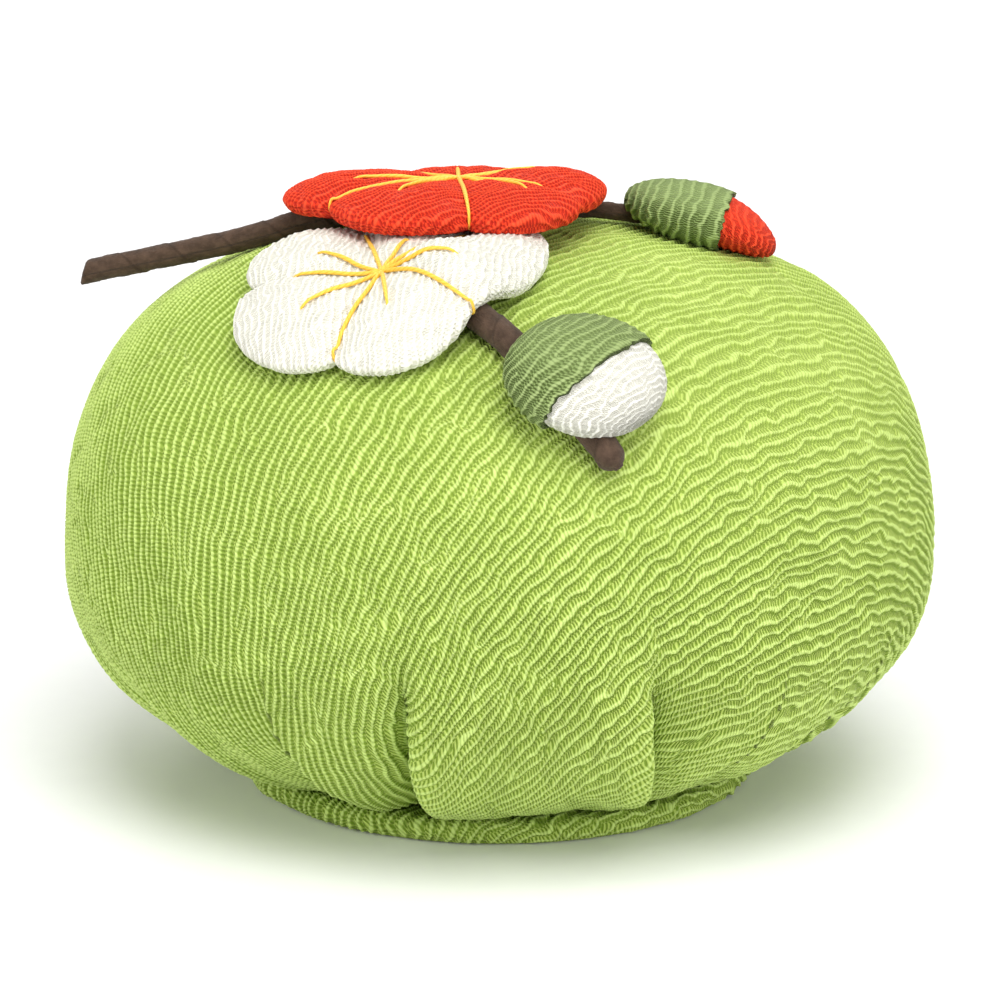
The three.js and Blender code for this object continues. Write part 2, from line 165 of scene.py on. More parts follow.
def ridge_height(ridges):
    """Height of a ridge: a crest that falls off steeply on one side and gently on the other."""
    turn = np.angle(ridges)
    return np.cos(turn) + 0.3 * np.cos(2 * turn - 1.1)


# ---- meshes made of rings ----


def ring_counts(around, spacing):
    """How many points go on each ring; a ring has as many as its neighbour, half or twice as many."""
    need = max(around) / spacing
    doublings = max(int(math.log2(need / 5)), 0)
    fewest = math.ceil(need / 2 ** doublings)
    steps = []
    for length in around:
        step = math.ceil(math.log2(max(length / spacing / fewest, 1e-6)))
        step = min(max(step, 0), doublings)
        if steps:
            step = min(max(step, steps[-1] - 1), steps[-1] + 1)
        steps.append(step)
    return [fewest * 2 ** step for step in steps]


def ring_faces(counts):
    """Quads and triangles of a closed body: a first point, its rings, and a last point."""
    quads, triangles = [], []
    start = 1
    first = np.arange(counts[0])
    triangles.append((0 * first, 1 + first, 1 + (first + 1) % counts[0]))
    for inner, outer in zip(counts[:-1], counts[1:]):
        beyond = start + inner
        here = np.arange(min(inner, outer))
        after = (here + 1) % len(here)
        near, near_next = start + here, start + after
        far, far_next = beyond + here, beyond + after
        if inner == outer:
            quads.append((near, far, far_next, near_next))
        elif outer > inner:
            left, right = beyond + 2 * here, beyond + 2 * after
            triangles += [(near, left, left + 1), (near, left + 1, near_next), (near_next, left + 1, right)]
        else:
            left, right = start + 2 * here, start + 2 * after
            triangles += [(left, far, left + 1), (left + 1, far, far_next), (left + 1, far_next, right)]
        start = beyond
    last = np.arange(counts[-1])
    triangles.append((start + last, 0 * last + start + counts[-1], start + (last + 1) % counts[-1]))
    empty = np.empty((0, 4), int)
    faces = [np.concatenate([np.column_stack(row) for row in rows]) for rows in (triangles, quads) if rows]
    return (faces[1] if quads else empty), faces[0]


def ring_places(counts):
    """For every point of a ringed body, the number of its row and its turn round the row."""
    sizes = [1, *counts, 1]
    rows = np.repeat(np.arange(len(sizes)), sizes)
    turns = [np.arange(size) * FULL_TURN / size for size in sizes]
    return rows, np.concatenate(turns)


def ringed_body(around, spacing):
    """Faces of a closed body whose rings are so long, and each point's row and turn round it."""
    counts = ring_counts(around, spacing)
    return *ring_faces(counts), *ring_places(counts)


def by_row(rows, first, values, last):
    """Each point's value: its ring's own, or the first or last point's."""
    return np.concatenate([[first], values, [last]])[rows]


def polar(reach, angle):
    """Places of the plan at a reach and an angle from its middle."""
    return np.stack([reach * np.cos(angle), reach * np.sin(angle)], axis=1)


def point_normals(points, quads, triangles):
    """Outward directions at a mesh's points."""
    normals = np.zeros_like(points)
    for faces in (quads, triangles):
        if not len(faces):
            continue
        corners = points[faces]
        one = corners[:, 2] - corners[:, 0]
        other = corners[:, -1] - corners[:, 1]
        facing = np.cross(one, other)
        for corner in range(faces.shape[1]):
            for axis in range(3):
                normals[:, axis] += np.bincount(faces[:, corner], facing[:, axis], len(points))
    return unit(normals)


def keep_values(mesh, name, values):
    """Keeps a number or a vector for each of a mesh's points."""
    kind, field = ("FLOAT", "value") if values.ndim == 1 else ("FLOAT_VECTOR", "vector")
    kept = mesh.attributes.new(name, kind, "POINT")
    kept.data.foreach_set(field, values.astype(np.float32).ravel())


def make_mesh(name, points, quads, triangles, ridges=None, flat=None, evened=0.0):
    """A smooth mesh object in metres, with its ridges and its flat cloth layout kept on it.

    The ridges' third number says how far their pattern is evened out by the cloth's stretch, which also
    fades their painted crest highlight and groove shade.
    """
    mesh = bpy.data.meshes.new(name)
    corners = np.concatenate([quads.ravel(), triangles.ravel()]).astype(np.int32)
    sizes = np.concatenate([np.full(len(quads), 4), np.full(len(triangles), 3)]).astype(np.int32)
    starts = np.concatenate([[0], np.cumsum(sizes)[:-1]]).astype(np.int32)
    mesh.vertices.add(len(points))
    mesh.vertices.foreach_set("co", (points * MM).astype(np.float32).ravel())
    mesh.loops.add(len(corners))
    mesh.loops.foreach_set("vertex_index", corners)
    mesh.polygons.add(len(sizes))
    mesh.polygons.foreach_set("loop_start", starts)
    mesh.polygons.foreach_set("loop_total", sizes)
    mesh.update(calc_edges=True)
    mesh.validate()
    mesh.shade_smooth()
    if ridges is not None:
        evened = np.zeros(len(ridges)) + evened
        keep_values(mesh, "ridge", np.column_stack([ridges.real, ridges.imag, evened]))
    if flat is not None:
        layout = mesh.uv_layers.new(name="OFBake")
        low = flat.min(axis=0)
        size = (flat.max(axis=0) - low).max()
        placed = 0.005 + 0.99 * (flat - low) / size
        layout.data.foreach_set("uv", placed[corners].astype(np.float32).ravel())
        keep_values(mesh, "cloth", np.column_stack([flat, np.zeros(len(flat))]))
    piece = bpy.data.objects.new(name, mesh)
    bpy.context.scene.collection.objects.link(piece)
    return piece


def finish_piece(piece, slot, material, *nodes):
    """Puts a piece on the part's one body with its finish, and hides the CAD nodes it stands for."""
    piece.data.materials.append(material)
    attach(piece, "root")
    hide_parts(*nodes)
    return piece


# ---- materials ----


def linear(red, green, blue):
    """A colour given as on a screen, 0 to 255, as light."""

    def one(value):
        value /= 255
        return value / 12.92 if value <= 0.04045 else ((value + 0.055) / 1.055) ** 2.4

    return (one(red), one(green), one(blue), 1)


class Nodes:
    """Short names for adding and joining a material's nodes."""

    def __init__(self, name):
        self.material = bpy.data.materials.new(name)
        self.material.use_nodes = True
        self.tree = self.material.node_tree
        self.shader = self.tree.nodes["Principled BSDF"]

    def put(self, socket, value):
        if isinstance(value, bpy.types.NodeSocket):
            self.tree.links.new(value, socket)
        else:
            socket.default_value = value

    def add(self, kind, inputs=(), **settings):
        node = self.tree.nodes.new(kind)
        for key, value in settings.items():
            setattr(node, key, value)
        for key, value in dict(inputs).items():
            self.put(node.inputs[key], value)
        return node

    def math(self, operation, one, other=0.0, third=0.0):
        return self.add("ShaderNodeMath", {0: one, 1: other, 2: third}, operation=operation).outputs[0]

    def ramp(self, value, low, high, to_low=0.0, to_high=1.0):
        """Smooth step of a value between two limits."""
        inputs = {"Value": value, "From Min": low, "From Max": high, "To Min": to_low, "To Max": to_high}
        node = self.add("ShaderNodeMapRange", inputs, interpolation_type="SMOOTHSTEP")
        return node.outputs["Result"]

    def blend(self, share, one, other):
        node = self.add("ShaderNodeMix", data_type="RGBA")
        for key, value in ((0, share), (6, one), (7, other)):
            self.put(node.inputs[key], value)
        return node.outputs[2]

    def noise(self, places, scale, detail=2.0, roughness=0.5):
        inputs = {"Vector": places, "Scale": scale, "Detail": detail, "Roughness": roughness}
        return self.add("ShaderNodeTexNoise", inputs).outputs["Fac"]

    def own_noise(self, scale, detail=2.0, roughness=0.5):
        """Noise laid out over the object itself."""
        return self.noise(self.add("ShaderNodeTexCoord").outputs["Object"], scale, detail, roughness)

    def attribute(self, name):
        return self.add("ShaderNodeAttribute", attribute_name=name)

    def bump(self, height, distance, strength=1.0):
        inputs = {"Height": height, "Distance": distance, "Strength": strength}
        return self.add("ShaderNodeBump", inputs).outputs["Normal"]

    def surface(self, colour, roughness, normal=None, sheen=0.0, sheen_tint=(1, 1, 1, 1), specular=0.5):
        self.put(self.shader.inputs["Base Color"], colour)
        self.put(self.shader.inputs["Roughness"], roughness)
        if normal is not None:
            self.put(self.shader.inputs["Normal"], normal)
        self.shader.inputs["Sheen Weight"].default_value = sheen
        self.shader.inputs["Sheen Roughness"].default_value = 0.4
        self.shader.inputs["Sheen Tint"].default_value = sheen_tint
        self.shader.inputs["Specular IOR Level"].default_value = specular
        return self.material


CREST_HIGHLIGHT_TURN = 0.15  # where round a ridge's wave the painted highlight on its crest is brightest
GROOVE_SHADE_TURN = 2.0  # and where the painted shade in the groove behind it is darkest
THREAD_RELIEF = 0.06


def thread_count(nodes, cloth, turn, pitch, heading):
    """Waves counted across the crepe's threads, which wander a little and lean with the ridges."""
    split = nodes.add("ShaderNodeSeparateXYZ", {0: cloth})
    count_x = nodes.math("MULTIPLY", split.outputs[0], math.sin(heading) / pitch)
    count = nodes.math("MULTIPLY_ADD", split.outputs[1], -math.cos(heading) / pitch, count_x)
    wander = nodes.noise(cloth, 0.306 / pitch, 1.0)
    count = nodes.math("MULTIPLY_ADD", wander, 1.6, count)
    return nodes.math("MULTIPLY_ADD", turn, 0.08, count)


def crepe_material(name, crest, body, gap, thread_pitch, thread_heading, groove_shade_depth):
    """Crepe: ridge crests painted bright, partly their own thread floats and partly a painted highlight, a
    painted shade in the groove behind each crest, and between them a band of slanted threads with dark
    gaps.
    """
    nodes = Nodes(name)
    crest, body, gap = linear(*crest), linear(*body), linear(*gap)
    cloth = nodes.attribute("cloth").outputs["Vector"]
    ridge = nodes.add("ShaderNodeSeparateXYZ", {0: nodes.attribute("ridge").outputs["Vector"]})
    turn = nodes.math("ARCTAN2", ridge.outputs[1], ridge.outputs[0])
    count = thread_count(nodes, cloth, turn, thread_pitch, math.radians(thread_heading))
    threads = nodes.math("SINE", nodes.math("MULTIPLY", count, FULL_TURN))
    speck = nodes.noise(cloth, 0.884 / thread_pitch, 2.0, 0.6)
    lit = nodes.math("ADD", threads, nodes.math("MULTIPLY_ADD", speck, 1.6, -0.8))
    shade = nodes.blend(nodes.ramp(lit, -0.75, 0.55), gap, body)
    # Painted shade: the groove just behind each crest is darkened towards the gap colour, as far as the
    # groove shade depth allows.
    fold = nodes.math("COSINE", nodes.math("SUBTRACT", turn, GROOVE_SHADE_TURN))
    shade = nodes.blend(nodes.ramp(fold, 0.55, 0.98, 0.0, groove_shade_depth), shade, gap)
    # Painted highlight, partly the crest's own thread floats: the crest is lightened towards the crest
    # colour, broken up by the threads.
    crest_highlight_mask = nodes.ramp(nodes.math("COSINE", nodes.math("SUBTRACT", turn, CREST_HIGHLIGHT_TURN)), 0.25, 0.9)
    twisted = nodes.ramp(lit, -1.2, 0.2, 0.45, 1.0)
    shade = nodes.blend(nodes.math("MULTIPLY", crest_highlight_mask, twisted), shade, crest)
    # Where the ridges are evened, the colours fade halfway towards the body colour, and the painted crest
    # highlight and groove shade fade with them.
    shade = nodes.blend(nodes.math("MULTIPLY", ridge.outputs[2], 0.5), shade, body)
    broad = nodes.ramp(nodes.noise(cloth, 0.09), 0.35, 0.65)
    shade = nodes.blend(broad, nodes.blend(0.12, shade, gap), shade)
    height = nodes.math("MULTIPLY", threads, nodes.ramp(ridge.outputs[0], 1.0, 0.2, 0.25, 1.0))
    height = nodes.math("MULTIPLY_ADD", speck, 0.5, height)
    normal = nodes.bump(height, THREAD_RELIEF * MM)
    return nodes.surface(shade, 0.72, normal, 0.15, crest, 0.25)


def floss_material():
    """Stranded cotton floss, with painted shade between its strands."""
    nodes = Nodes("yellow_floss")
    strand = nodes.attribute("strand").outputs["Fac"]
    speck = nodes.own_noise(3500.0, 2.0, 0.6)
    # Painted shade: the floss is darker in the grooves between its strands.
    light = nodes.ramp(nodes.math("MULTIPLY_ADD", speck, 0.4, strand), 0.1, 1.0)
    colour = nodes.blend(light, linear(238, 172, 34), linear(249, 203, 74))
    return nodes.surface(colour, 0.5, nodes.bump(speck, 0.03 * MM), 0.2, linear(255, 240, 170), 0.4)


def tape_material():
    """Brown paper tape: mottled, with fibres lying along it and a darker seam at each turn."""
    nodes = Nodes("paper_tape")
    laid = nodes.attribute("laid").outputs["Vector"]
    stretched = nodes.add("ShaderNodeMapping", {"Vector": laid, "Scale": (0.35, 1, 1)}).outputs[0]
    mottle = nodes.noise(laid, 0.9, 4.0, 0.6)
    fibre = nodes.noise(stretched, 7.0, 3.0, 0.7)
    seam = nodes.attribute("strand").outputs["Fac"]
    colour = nodes.blend(nodes.ramp(mottle, 0.3, 0.7), linear(66, 50, 38), linear(90, 70, 56))
    colour = nodes.blend(nodes.ramp(fibre, 0.62, 0.78, 0.0, 0.6), colour, linear(122, 100, 84))
    colour = nodes.blend(nodes.ramp(fibre, 0.42, 0.25, 0.0, 0.6), colour, linear(44, 32, 18))
    colour = nodes.blend(nodes.ramp(seam, 0.5, 1.0, 0.0, 0.5), colour, linear(46, 33, 20))
    normal = nodes.bump(nodes.math("ADD", mottle, fibre), 0.12 * MM)
    return nodes.surface(colour, 0.82, normal, 0.1, specular=0.25)


def speckled_material(name, noise, dark, light, roughness, relief, sheen=0.0):
    """A matt stuff whose colour and shallow relief follow one noise."""
    nodes = Nodes(name)
    speck = nodes.own_noise(*noise)
    colour = nodes.blend(speck, linear(*dark), linear(*light))
    return nodes.surface(colour, roughness, nodes.bump(speck, relief * MM), sheen)


def cotton_material():
    """Cotton wool."""
    return speckled_material(
        "cotton_filling", (900.0, 5.0, 0.65), (228, 222, 206), (252, 249, 240), 0.95, 0.3, 0.3)


def steel_material():
    """Bare steel wire with faint drawing marks."""
    nodes = Nodes("steel_wire")
    marks = nodes.own_noise(2500.0)
    colour = nodes.blend(marks, linear(150, 152, 156), linear(196, 198, 201))
    nodes.shader.inputs["Metallic"].default_value = 1.0
    return nodes.surface(colour, nodes.ramp(marks, 0.2, 0.8, 0.28, 0.45))


def card_material():
    """Grey-brown board with short fibres."""
    return speckled_material("card", (700.0, 5.0, 0.7), (158, 134, 100), (206, 184, 148), 0.9, 0.1)


def thread_material():
    """Pale sewing thread."""
    return speckled_material(
        "gathering_thread", (2200.0,), (190, 202, 132), (232, 238, 196), 0.7, 0.08, 0.2)


def floor_material():
    """Matt pale studio floor."""
    nodes = Nodes("floor")
    colour = nodes.blend(nodes.own_noise(300.0, 3.0), linear(243, 243, 243), linear(246, 246, 246))
    return nodes.surface(colour, 0.9, specular=0.1)


# ---- the bun's smooth surface ----

CROWN_STEPS = 1199
UNDER_STEPS = 499
TURN_IN_STEPS = 59


def bun_section():
    """Radii, heights and distances over the cloth of the bun's section, from its top down."""
    turns = np.linspace(0, math.pi / 2, CROWN_STEPS + 1)
    radius = BUN_RADIUS * np.sin(turns) ** (2 / CROWN_POWER)
    height = WAIST_HEIGHT + CROWN_RISE * np.cos(turns) ** (2 / CROWN_POWER)
    bottom = BASE_TOP + CLEARANCE
    lowest = math.asin(((WAIST_HEIGHT - bottom) / UNDER_DROP) ** (UNDER_POWER / 2))
    under = np.linspace(0, lowest, UNDER_STEPS + 1)[1:]
    radius = np.concatenate([radius, BUN_RADIUS * np.cos(under) ** (2 / UNDER_POWER)])
    height = np.concatenate([height, WAIST_HEIGHT - UNDER_DROP * np.sin(under) ** (2 / UNDER_POWER)])
    height = np.concatenate([height, np.full(TURN_IN_STEPS, bottom)])
    radius = np.concatenate([radius, radius[-1] * np.linspace(1, 0, TURN_IN_STEPS + 1)[1:]])
    arc = np.concatenate([[0], np.cumsum(np.hypot(np.diff(radius), np.diff(height)))])
    return radius, height, arc


SECTION_RADIUS, SECTION_HEIGHT, SECTION_ARC = bun_section()
WAIST_ARC = float(SECTION_ARC[CROWN_STEPS])
EDGE_ARC = float(SECTION_ARC[CROWN_STEPS + UNDER_STEPS])
LAST_ARC = float(SECTION_ARC[-1])


def radius_at_arc(arc):
    return np.interp(arc, SECTION_ARC, SECTION_RADIUS)


def height_at_arc(arc):
    return np.interp(arc, SECTION_ARC, SECTION_HEIGHT)


# Each pleat: azimuth at its top and foot in degrees, the height its top is at, how deep it is, which
# side laps over the other (1 for the side of greater azimuth, -1 for the other one; less than 1 laps
# less), how wide the drawn-in side is, and the share of its depth that is left at the foot.
PLEATS = (
    (-150, -147, 15, 2.0, 0.3, 3.6, 0.5),
    (-121, -126, 11, 1.5, 0.3, 3.2, 0.5),
    (-102, -106.5, 24, 4.4, 0.5, 1.7, 0.7),
    (-70, -56, 25, 3.6, -1, 4.6, 0.15),
    (-51, -46, 8, 1.4, -0.2, 2.6, 0.6),
    (-28, -22, 13, 0.9, 0.15, 4.0, 0.5),
    (12, 8, 15, 2.6, -1, 2.6, 0.4),
    (55, 60, 19, 3.2, 1, 3.0, 0.4),
    (98, 95, 16, 2.8, -1, 2.2, 0.4),
    (140, 146, 18, 3.0, 1, 2.6, 0.4),
    (184, 190, 17, 2.8, -1, 2.6, 0.4),
)


def arc_at_height(height):
    """Distance over the cloth, below the waist, at which the bun's surface has a height."""
    below = SECTION_ARC >= WAIST_ARC
    heights = SECTION_HEIGHT[below]
    return float(np.interp(-height, -heights, SECTION_ARC[below]))


def pleat_line(pleat, arc):
    """Azimuth of a pleat's fold at a distance over the cloth."""
    top, foot, height = pleat[:3]
    start = arc_at_height(height)
    reach = radius_at_arc(np.clip(arc, start, EDGE_ARC))
    first, last = radius_at_arc([start, EDGE_ARC])
    share = (1 / reach - 1 / first) / (1 / last - 1 / first)
    return np.radians(top + (foot - top) * share)


def pleat_growth(pleat, arc):
    start = arc_at_height(pleat[2])
    return smoothstep(arc, start - 3, start + 0.42 * (EDGE_ARC - start))


def panel_turn(azimuth, arc):
    """Azimuth on the flat cloth: a panel between two pleats shows only the middle of its share."""
    radius = radius_at_arc(arc)
    start = WAIST_ARC + 2.0
    kept = radius_at_arc(start) / start
    shown = np.clip(radius / np.maximum(arc, 1e-6) / kept, 0.36, 1)
    shown = np.where(arc < start, 1.0, shown)
    result = np.zeros_like(azimuth)
    chosen = np.zeros(len(azimuth), bool)
    for index, pleat in enumerate(PLEATS):
        after = PLEATS[(index + 1) % len(PLEATS)]
        left = pleat_line(pleat, arc)
        width = (pleat_line(after, arc) - left) % FULL_TURN
        inside = ((azimuth - left) % FULL_TURN < width) & ~chosen
        middle = np.radians((pleat[0] + pleat[1]) / 2)
        far_middle = np.radians((after[0] + after[1]) / 2)
        middle = middle + (far_middle - middle) % FULL_TURN / 2
        turned = middle + wrapped(azimuth - middle) * shown
        result = np.where(inside, turned, result)
        chosen |= inside
    return result


FOOT_TUCK = 0.3
LAP_EDGE = 0.75  # width of the edge that laps over
BULGE_SHARE = 0.32  # of a pleat's depth, beside the lapping edge
SWELL_SHARE = 0.18  # of a pleat's depth, beyond the drawn-in side


def foot_tuck(arc):
    """How much of its tuck the cloth has, where it turns in over the base."""
    return smoothstep(arc, EDGE_ARC - 8, EDGE_ARC)


def pleat_moves(azimuth, arc):
    """How far the pleats draw the cloth in, and how far they shift it sideways.

    The side that goes under is drawn in and swells again further off; the side that laps over drops
    at its folded edge and bulges beside it.
    """
    radius = radius_at_arc(arc)
    inward = np.zeros_like(arc)
    sideways = np.zeros_like(arc)
    for pleat in PLEATS:
        depth, lap, run, kept = pleat[3:]
        growth = pleat_growth(pleat, arc) * (1 - (1 - kept) * foot_tuck(arc))
        away = radius * wrapped(azimuth - pleat_line(pleat, arc)) * np.sign(lap)
        under = np.where(away < 0, np.exp(-np.abs(away) / run), 0)
        over = np.where(away >= 0, bell(away, LAP_EDGE), 0)
        bulge = np.where(away > 0, bell(away - 3.0, 2.6), 0) * smoothstep(away, 0, 1.2)
        swell = np.where(away < 0, bell(away + 2.6 * run, 1.5 * run), 0)
        inward += growth * depth * (under + over - BULGE_SHARE * bulge - SWELL_SHARE * swell)
        sideways -= lap * growth * 1.1 * bell(away - 0.9, 1.1)
    inward = inward + FOOT_TUCK * foot_tuck(arc)
    fade = 1 - smoothstep(arc, EDGE_ARC, EDGE_ARC + 3)
    return inward * fade, sideways * fade


def bun_places(azimuth, arc):
    """Points of the pleated bun before its ridges are raised."""
    radius = radius_at_arc(arc)
    step = 0.3
    ahead = np.clip(arc + step, 0, LAST_ARC)
    behind = np.clip(arc - step, 0, LAST_ARC)
    run = radius_at_arc(ahead) - radius_at_arc(behind)
    fall = height_at_arc(behind) - height_at_arc(ahead)
    size = np.maximum(np.hypot(run, fall), 1e-9)
    inward, sideways = pleat_moves(azimuth, arc)
    turn = azimuth + sideways / np.maximum(radius, 1)
    height = height_at_arc(arc) - inward * run / size * 0.5
    return np.column_stack([polar(radius - inward * fall / size, turn), height])


def flat_places(azimuth, arc):
    """Places on the flat cloth; it is stretched over the crown, and again where the foot pulls it."""
    turn = panel_turn(azimuth, arc)
    reach = arc - 4 * smoothstep(arc, 0, 45) - 0.35 * np.maximum(arc - WAIST_ARC - 6, 0)
    return polar(reach, turn)


COVER_SPACING = 0.2
RIDGE_PITCH = 1.0
RIDGE_HEIGHT = 0.2
RIDGE_HEADING = math.radians(50)
LUMP_LENGTH = 22
LUMP_HEIGHT = 0.22


def cushion_cover(material):
    """The crepe cover: drawn down over the filling and pleated in under it.

    The cloth is stretched over the crown, most of all in front, which evens its ridges out there and fades
    their painted crest highlight and groove shade.
    """
    fine = np.arange(COVER_SPACING, EDGE_ARC + 2.0, COVER_SPACING)
    coarse = np.arange(fine[-1] + 1.0, LAST_ARC - 0.5, 1.0)
    arcs = np.concatenate([fine, coarse])
    quads, triangles, rows, azimuth = ringed_body(FULL_TURN * radius_at_arc(arcs), COVER_SPACING)
    azimuth = wrapped(azimuth)
    arc = by_row(rows, 0, arcs, LAST_ARC)
    flat = flat_places(azimuth, arc)
    points = bun_places(azimuth, arc)
    lumps, _ = soft_noise(polar(arc, azimuth), LUMP_LENGTH, 5)
    normals = point_normals(points, quads, triangles)
    evened = (1 - smoothstep(arc, 28, 62)) * (0.3 + 0.7 * bell(wrapped(azimuth + 0.35), 1.2))
    waving = 0.4 + 0.4 * np.sin(panel_turn(azimuth, arc) - RIDGE_HEADING) ** 2
    ridges, strength = crepe_ridges(flat, RIDGE_PITCH, RIDGE_HEADING, waving, 11)
    shown = 1 - smoothstep(arc, EDGE_ARC, EDGE_ARC + 2)
    size = RIDGE_HEIGHT * (1 - 0.35 * evened) * (1 - 0.25 * smoothstep(arc, WAIST_ARC + 2, WAIST_ARC + 14))
    raised = ridge_height(ridges) * strength * size + LUMP_HEIGHT * lumps * shown
    points = points + normals * (raised * shown)[:, None]
    piece = make_mesh("cushion_crepe_cover", points, quads, triangles, ridges, flat, evened)
    finish_piece(piece, "green_crepe", material, "cushion_cover")
    return piece


STUFFING_SPACING = 1.6


def cushion_stuffing(material):
    """The ball of cotton inside the cover, grooved where the pleats draw in."""
    arcs = np.arange(STUFFING_SPACING, LAST_ARC - 1, STUFFING_SPACING)
    quads, triangles, rows, azimuth = ringed_body(FULL_TURN * radius_at_arc(arcs), STUFFING_SPACING)
    azimuth = wrapped(azimuth)
    arc = by_row(rows, 0, arcs, LAST_ARC)
    radius = radius_at_arc(arc)
    drawn = CLOTH + 2 * CLEARANCE + FOOT_TUCK * foot_tuck(arc)
    for pleat in PLEATS:
        away = radius * wrapped(azimuth - pleat_line(pleat, arc))
        drawn += pleat[3] * pleat_growth(pleat, arc) * 1.1 * bell(away, 3.2)
    smooth = np.column_stack([polar(radius, azimuth), height_at_arc(arc)])
    normals = point_normals(smooth, quads, triangles)
    pleated = bun_places(azimuth, arc)
    fluff, _ = soft_noise(pleated[:, :2] + 3 * pleated[:, 2:], 3.0, 21)
    points = smooth - normals * (drawn + 0.1 + 0.1 * fluff)[:, None]
    points[:, 2] = np.maximum(points[:, 2], BASE_TOP + CLOTH + 2 * CLEARANCE)
    piece = make_mesh("cushion_cotton_filling", points, quads, triangles)
    finish_piece(piece, "cotton_filling", material, "cushion_stuffing")


# ---- the base's rim ----


def base_cover(material):
    """The card's crepe cover: its rounded rim is what shows under the bun."""
    corner = (BASE_TOP - BASE_LOW[2]) / 2
    spacing = 0.17
    turns = np.linspace(math.pi / 2, -math.pi / 2, int(math.pi * corner / spacing))
    flat_reach = BASE_RADIUS - corner
    ridged_from = flat_reach - 4
    flat_out = np.arange(1.5, ridged_from, 1.5)
    near_edge = np.arange(ridged_from, flat_reach - spacing, spacing)
    top_radii = np.concatenate([flat_out, near_edge])
    radii = np.concatenate([top_radii, flat_reach + corner * np.cos(turns), top_radii[::-1]])
    heights = np.concatenate([
        np.full(len(top_radii), BASE_TOP),
        corner + corner * np.sin(turns),
        np.zeros(len(top_radii)),
    ])
    quads, triangles, rows, azimuth = ringed_body(FULL_TURN * radii, spacing)
    azimuth = wrapped(azimuth)
    run = np.concatenate([[0], np.cumsum(np.hypot(np.diff(radii), np.diff(heights)))]) + radii[0]
    run = by_row(rows, 0, run, run[-1] + radii[-1])
    radius = by_row(rows, 0, radii, 0)
    height = by_row(rows, BASE_TOP, heights, 0)
    points = np.column_stack([polar(radius, azimuth), height])
    normals = point_normals(points, quads, triangles)
    flat = polar(run, azimuth)
    ridges, strength = crepe_ridges(flat, 0.95, math.radians(48), 1.1, 31)
    ripple, _ = soft_noise(flat, 7, 33)
    shown = smoothstep(height, 0.02, 0.5) * smoothstep(radius, ridged_from, ridged_from + 2)
    raised = (ridge_height(ridges) * strength * 0.17 + 0.12 * ripple) * shown
    points = points + normals * raised[:, None]
    points[:, 2] = np.clip(points[:, 2], 0, BASE_TOP + 0.2)
    piece = make_mesh("base_crepe_cover", points, quads, triangles, ridges, flat)
    finish_piece(piece, "green_crepe", material, "base_cover")


# ---- places over the bun's crown ----


def crown_height(x, y):
    share = np.minimum(np.hypot(x, y) / BUN_RADIUS, 0.999)
    return WAIST_HEIGHT + CROWN_RISE * (1 - share ** CROWN_POWER) ** (1 / CROWN_POWER)


def crown_normal(x, y):
    reach = 0.05
    slope_x = (crown_height(x + reach, y) - crown_height(x - reach, y)) / (2 * reach)
    slope_y = (crown_height(x, y + reach) - crown_height(x, y - reach)) / (2 * reach)
    return unit(np.stack([-slope_x, -slope_y, np.ones_like(slope_x)], axis=-1))


def over_crown(x, y, height):
    """Points straight out from the crown, above some places of the plan."""
    foot = np.stack([x, y, crown_height(x, y)], axis=-1)
    return foot + crown_normal(x, y) * np.asarray(height)[..., None]


def walk_over_crown(start, angle, distance):
    """Places of the plan reached by walking over the crown from one place."""
    steps = 12
    x = np.full_like(angle, start[0])
    y = np.full_like(angle, start[1])
    for _ in range(steps):
        normal = crown_normal(x, y)
        rise = -(normal[:, 0] * np.cos(angle) + normal[:, 1] * np.sin(angle)) / normal[:, 2]
        stride = distance / steps / np.hypot(1, rise)
        x = x + np.cos(angle) * stride
        y = y + np.sin(angle) * stride
    return x, y


# ---- rods along a path ----


def smooth_path(stops, spacing):
    """Evenly spaced points of a curve through some stops."""
    stops = np.asarray(stops, float)
    before = 2 * stops[0] - stops[1]
    after = 2 * stops[-1] - stops[-2]
    ends = np.concatenate([[before], stops, [after]])
    share = np.linspace(0, 1, 24, endpoint=False)[:, None]
    pieces = []
    for one, two, three, four in zip(ends[:-3], ends[1:-2], ends[2:-1], ends[3:]):
        bend = 2 * two + (three - one) * share + (2 * one - 5 * two + 4 * three - four) * share ** 2
        bend = bend + (3 * two - one - 3 * three + four) * share ** 3
        pieces.append(bend / 2)
    dense = np.concatenate([*pieces, stops[-1:]])
    run = np.concatenate([[0], np.cumsum(np.linalg.norm(np.diff(dense, axis=0), axis=1))])
    count = max(int(run[-1] / spacing), 4)
    even = np.linspace(0, run[-1], count + 1)
    return np.stack([np.interp(even, run, dense[:, axis]) for axis in range(3)], axis=1), even


def path_frames(path):
    """Directions along a path and across it, turning no more than the path does."""
    along = unit(np.gradient(path, axis=0))
    side = np.zeros_like(path)
    start = np.cross(along[0], (0, 0, 1.0))
    side[0] = unit(start if np.linalg.norm(start) > 0.1 else np.cross(along[0], (1.0, 0, 0)))
    for index in range(1, len(path)):
        carried = side[index - 1] - along[index] * (side[index - 1] @ along[index])
        side[index] = unit(carried)
    return along, side, np.cross(side, along)


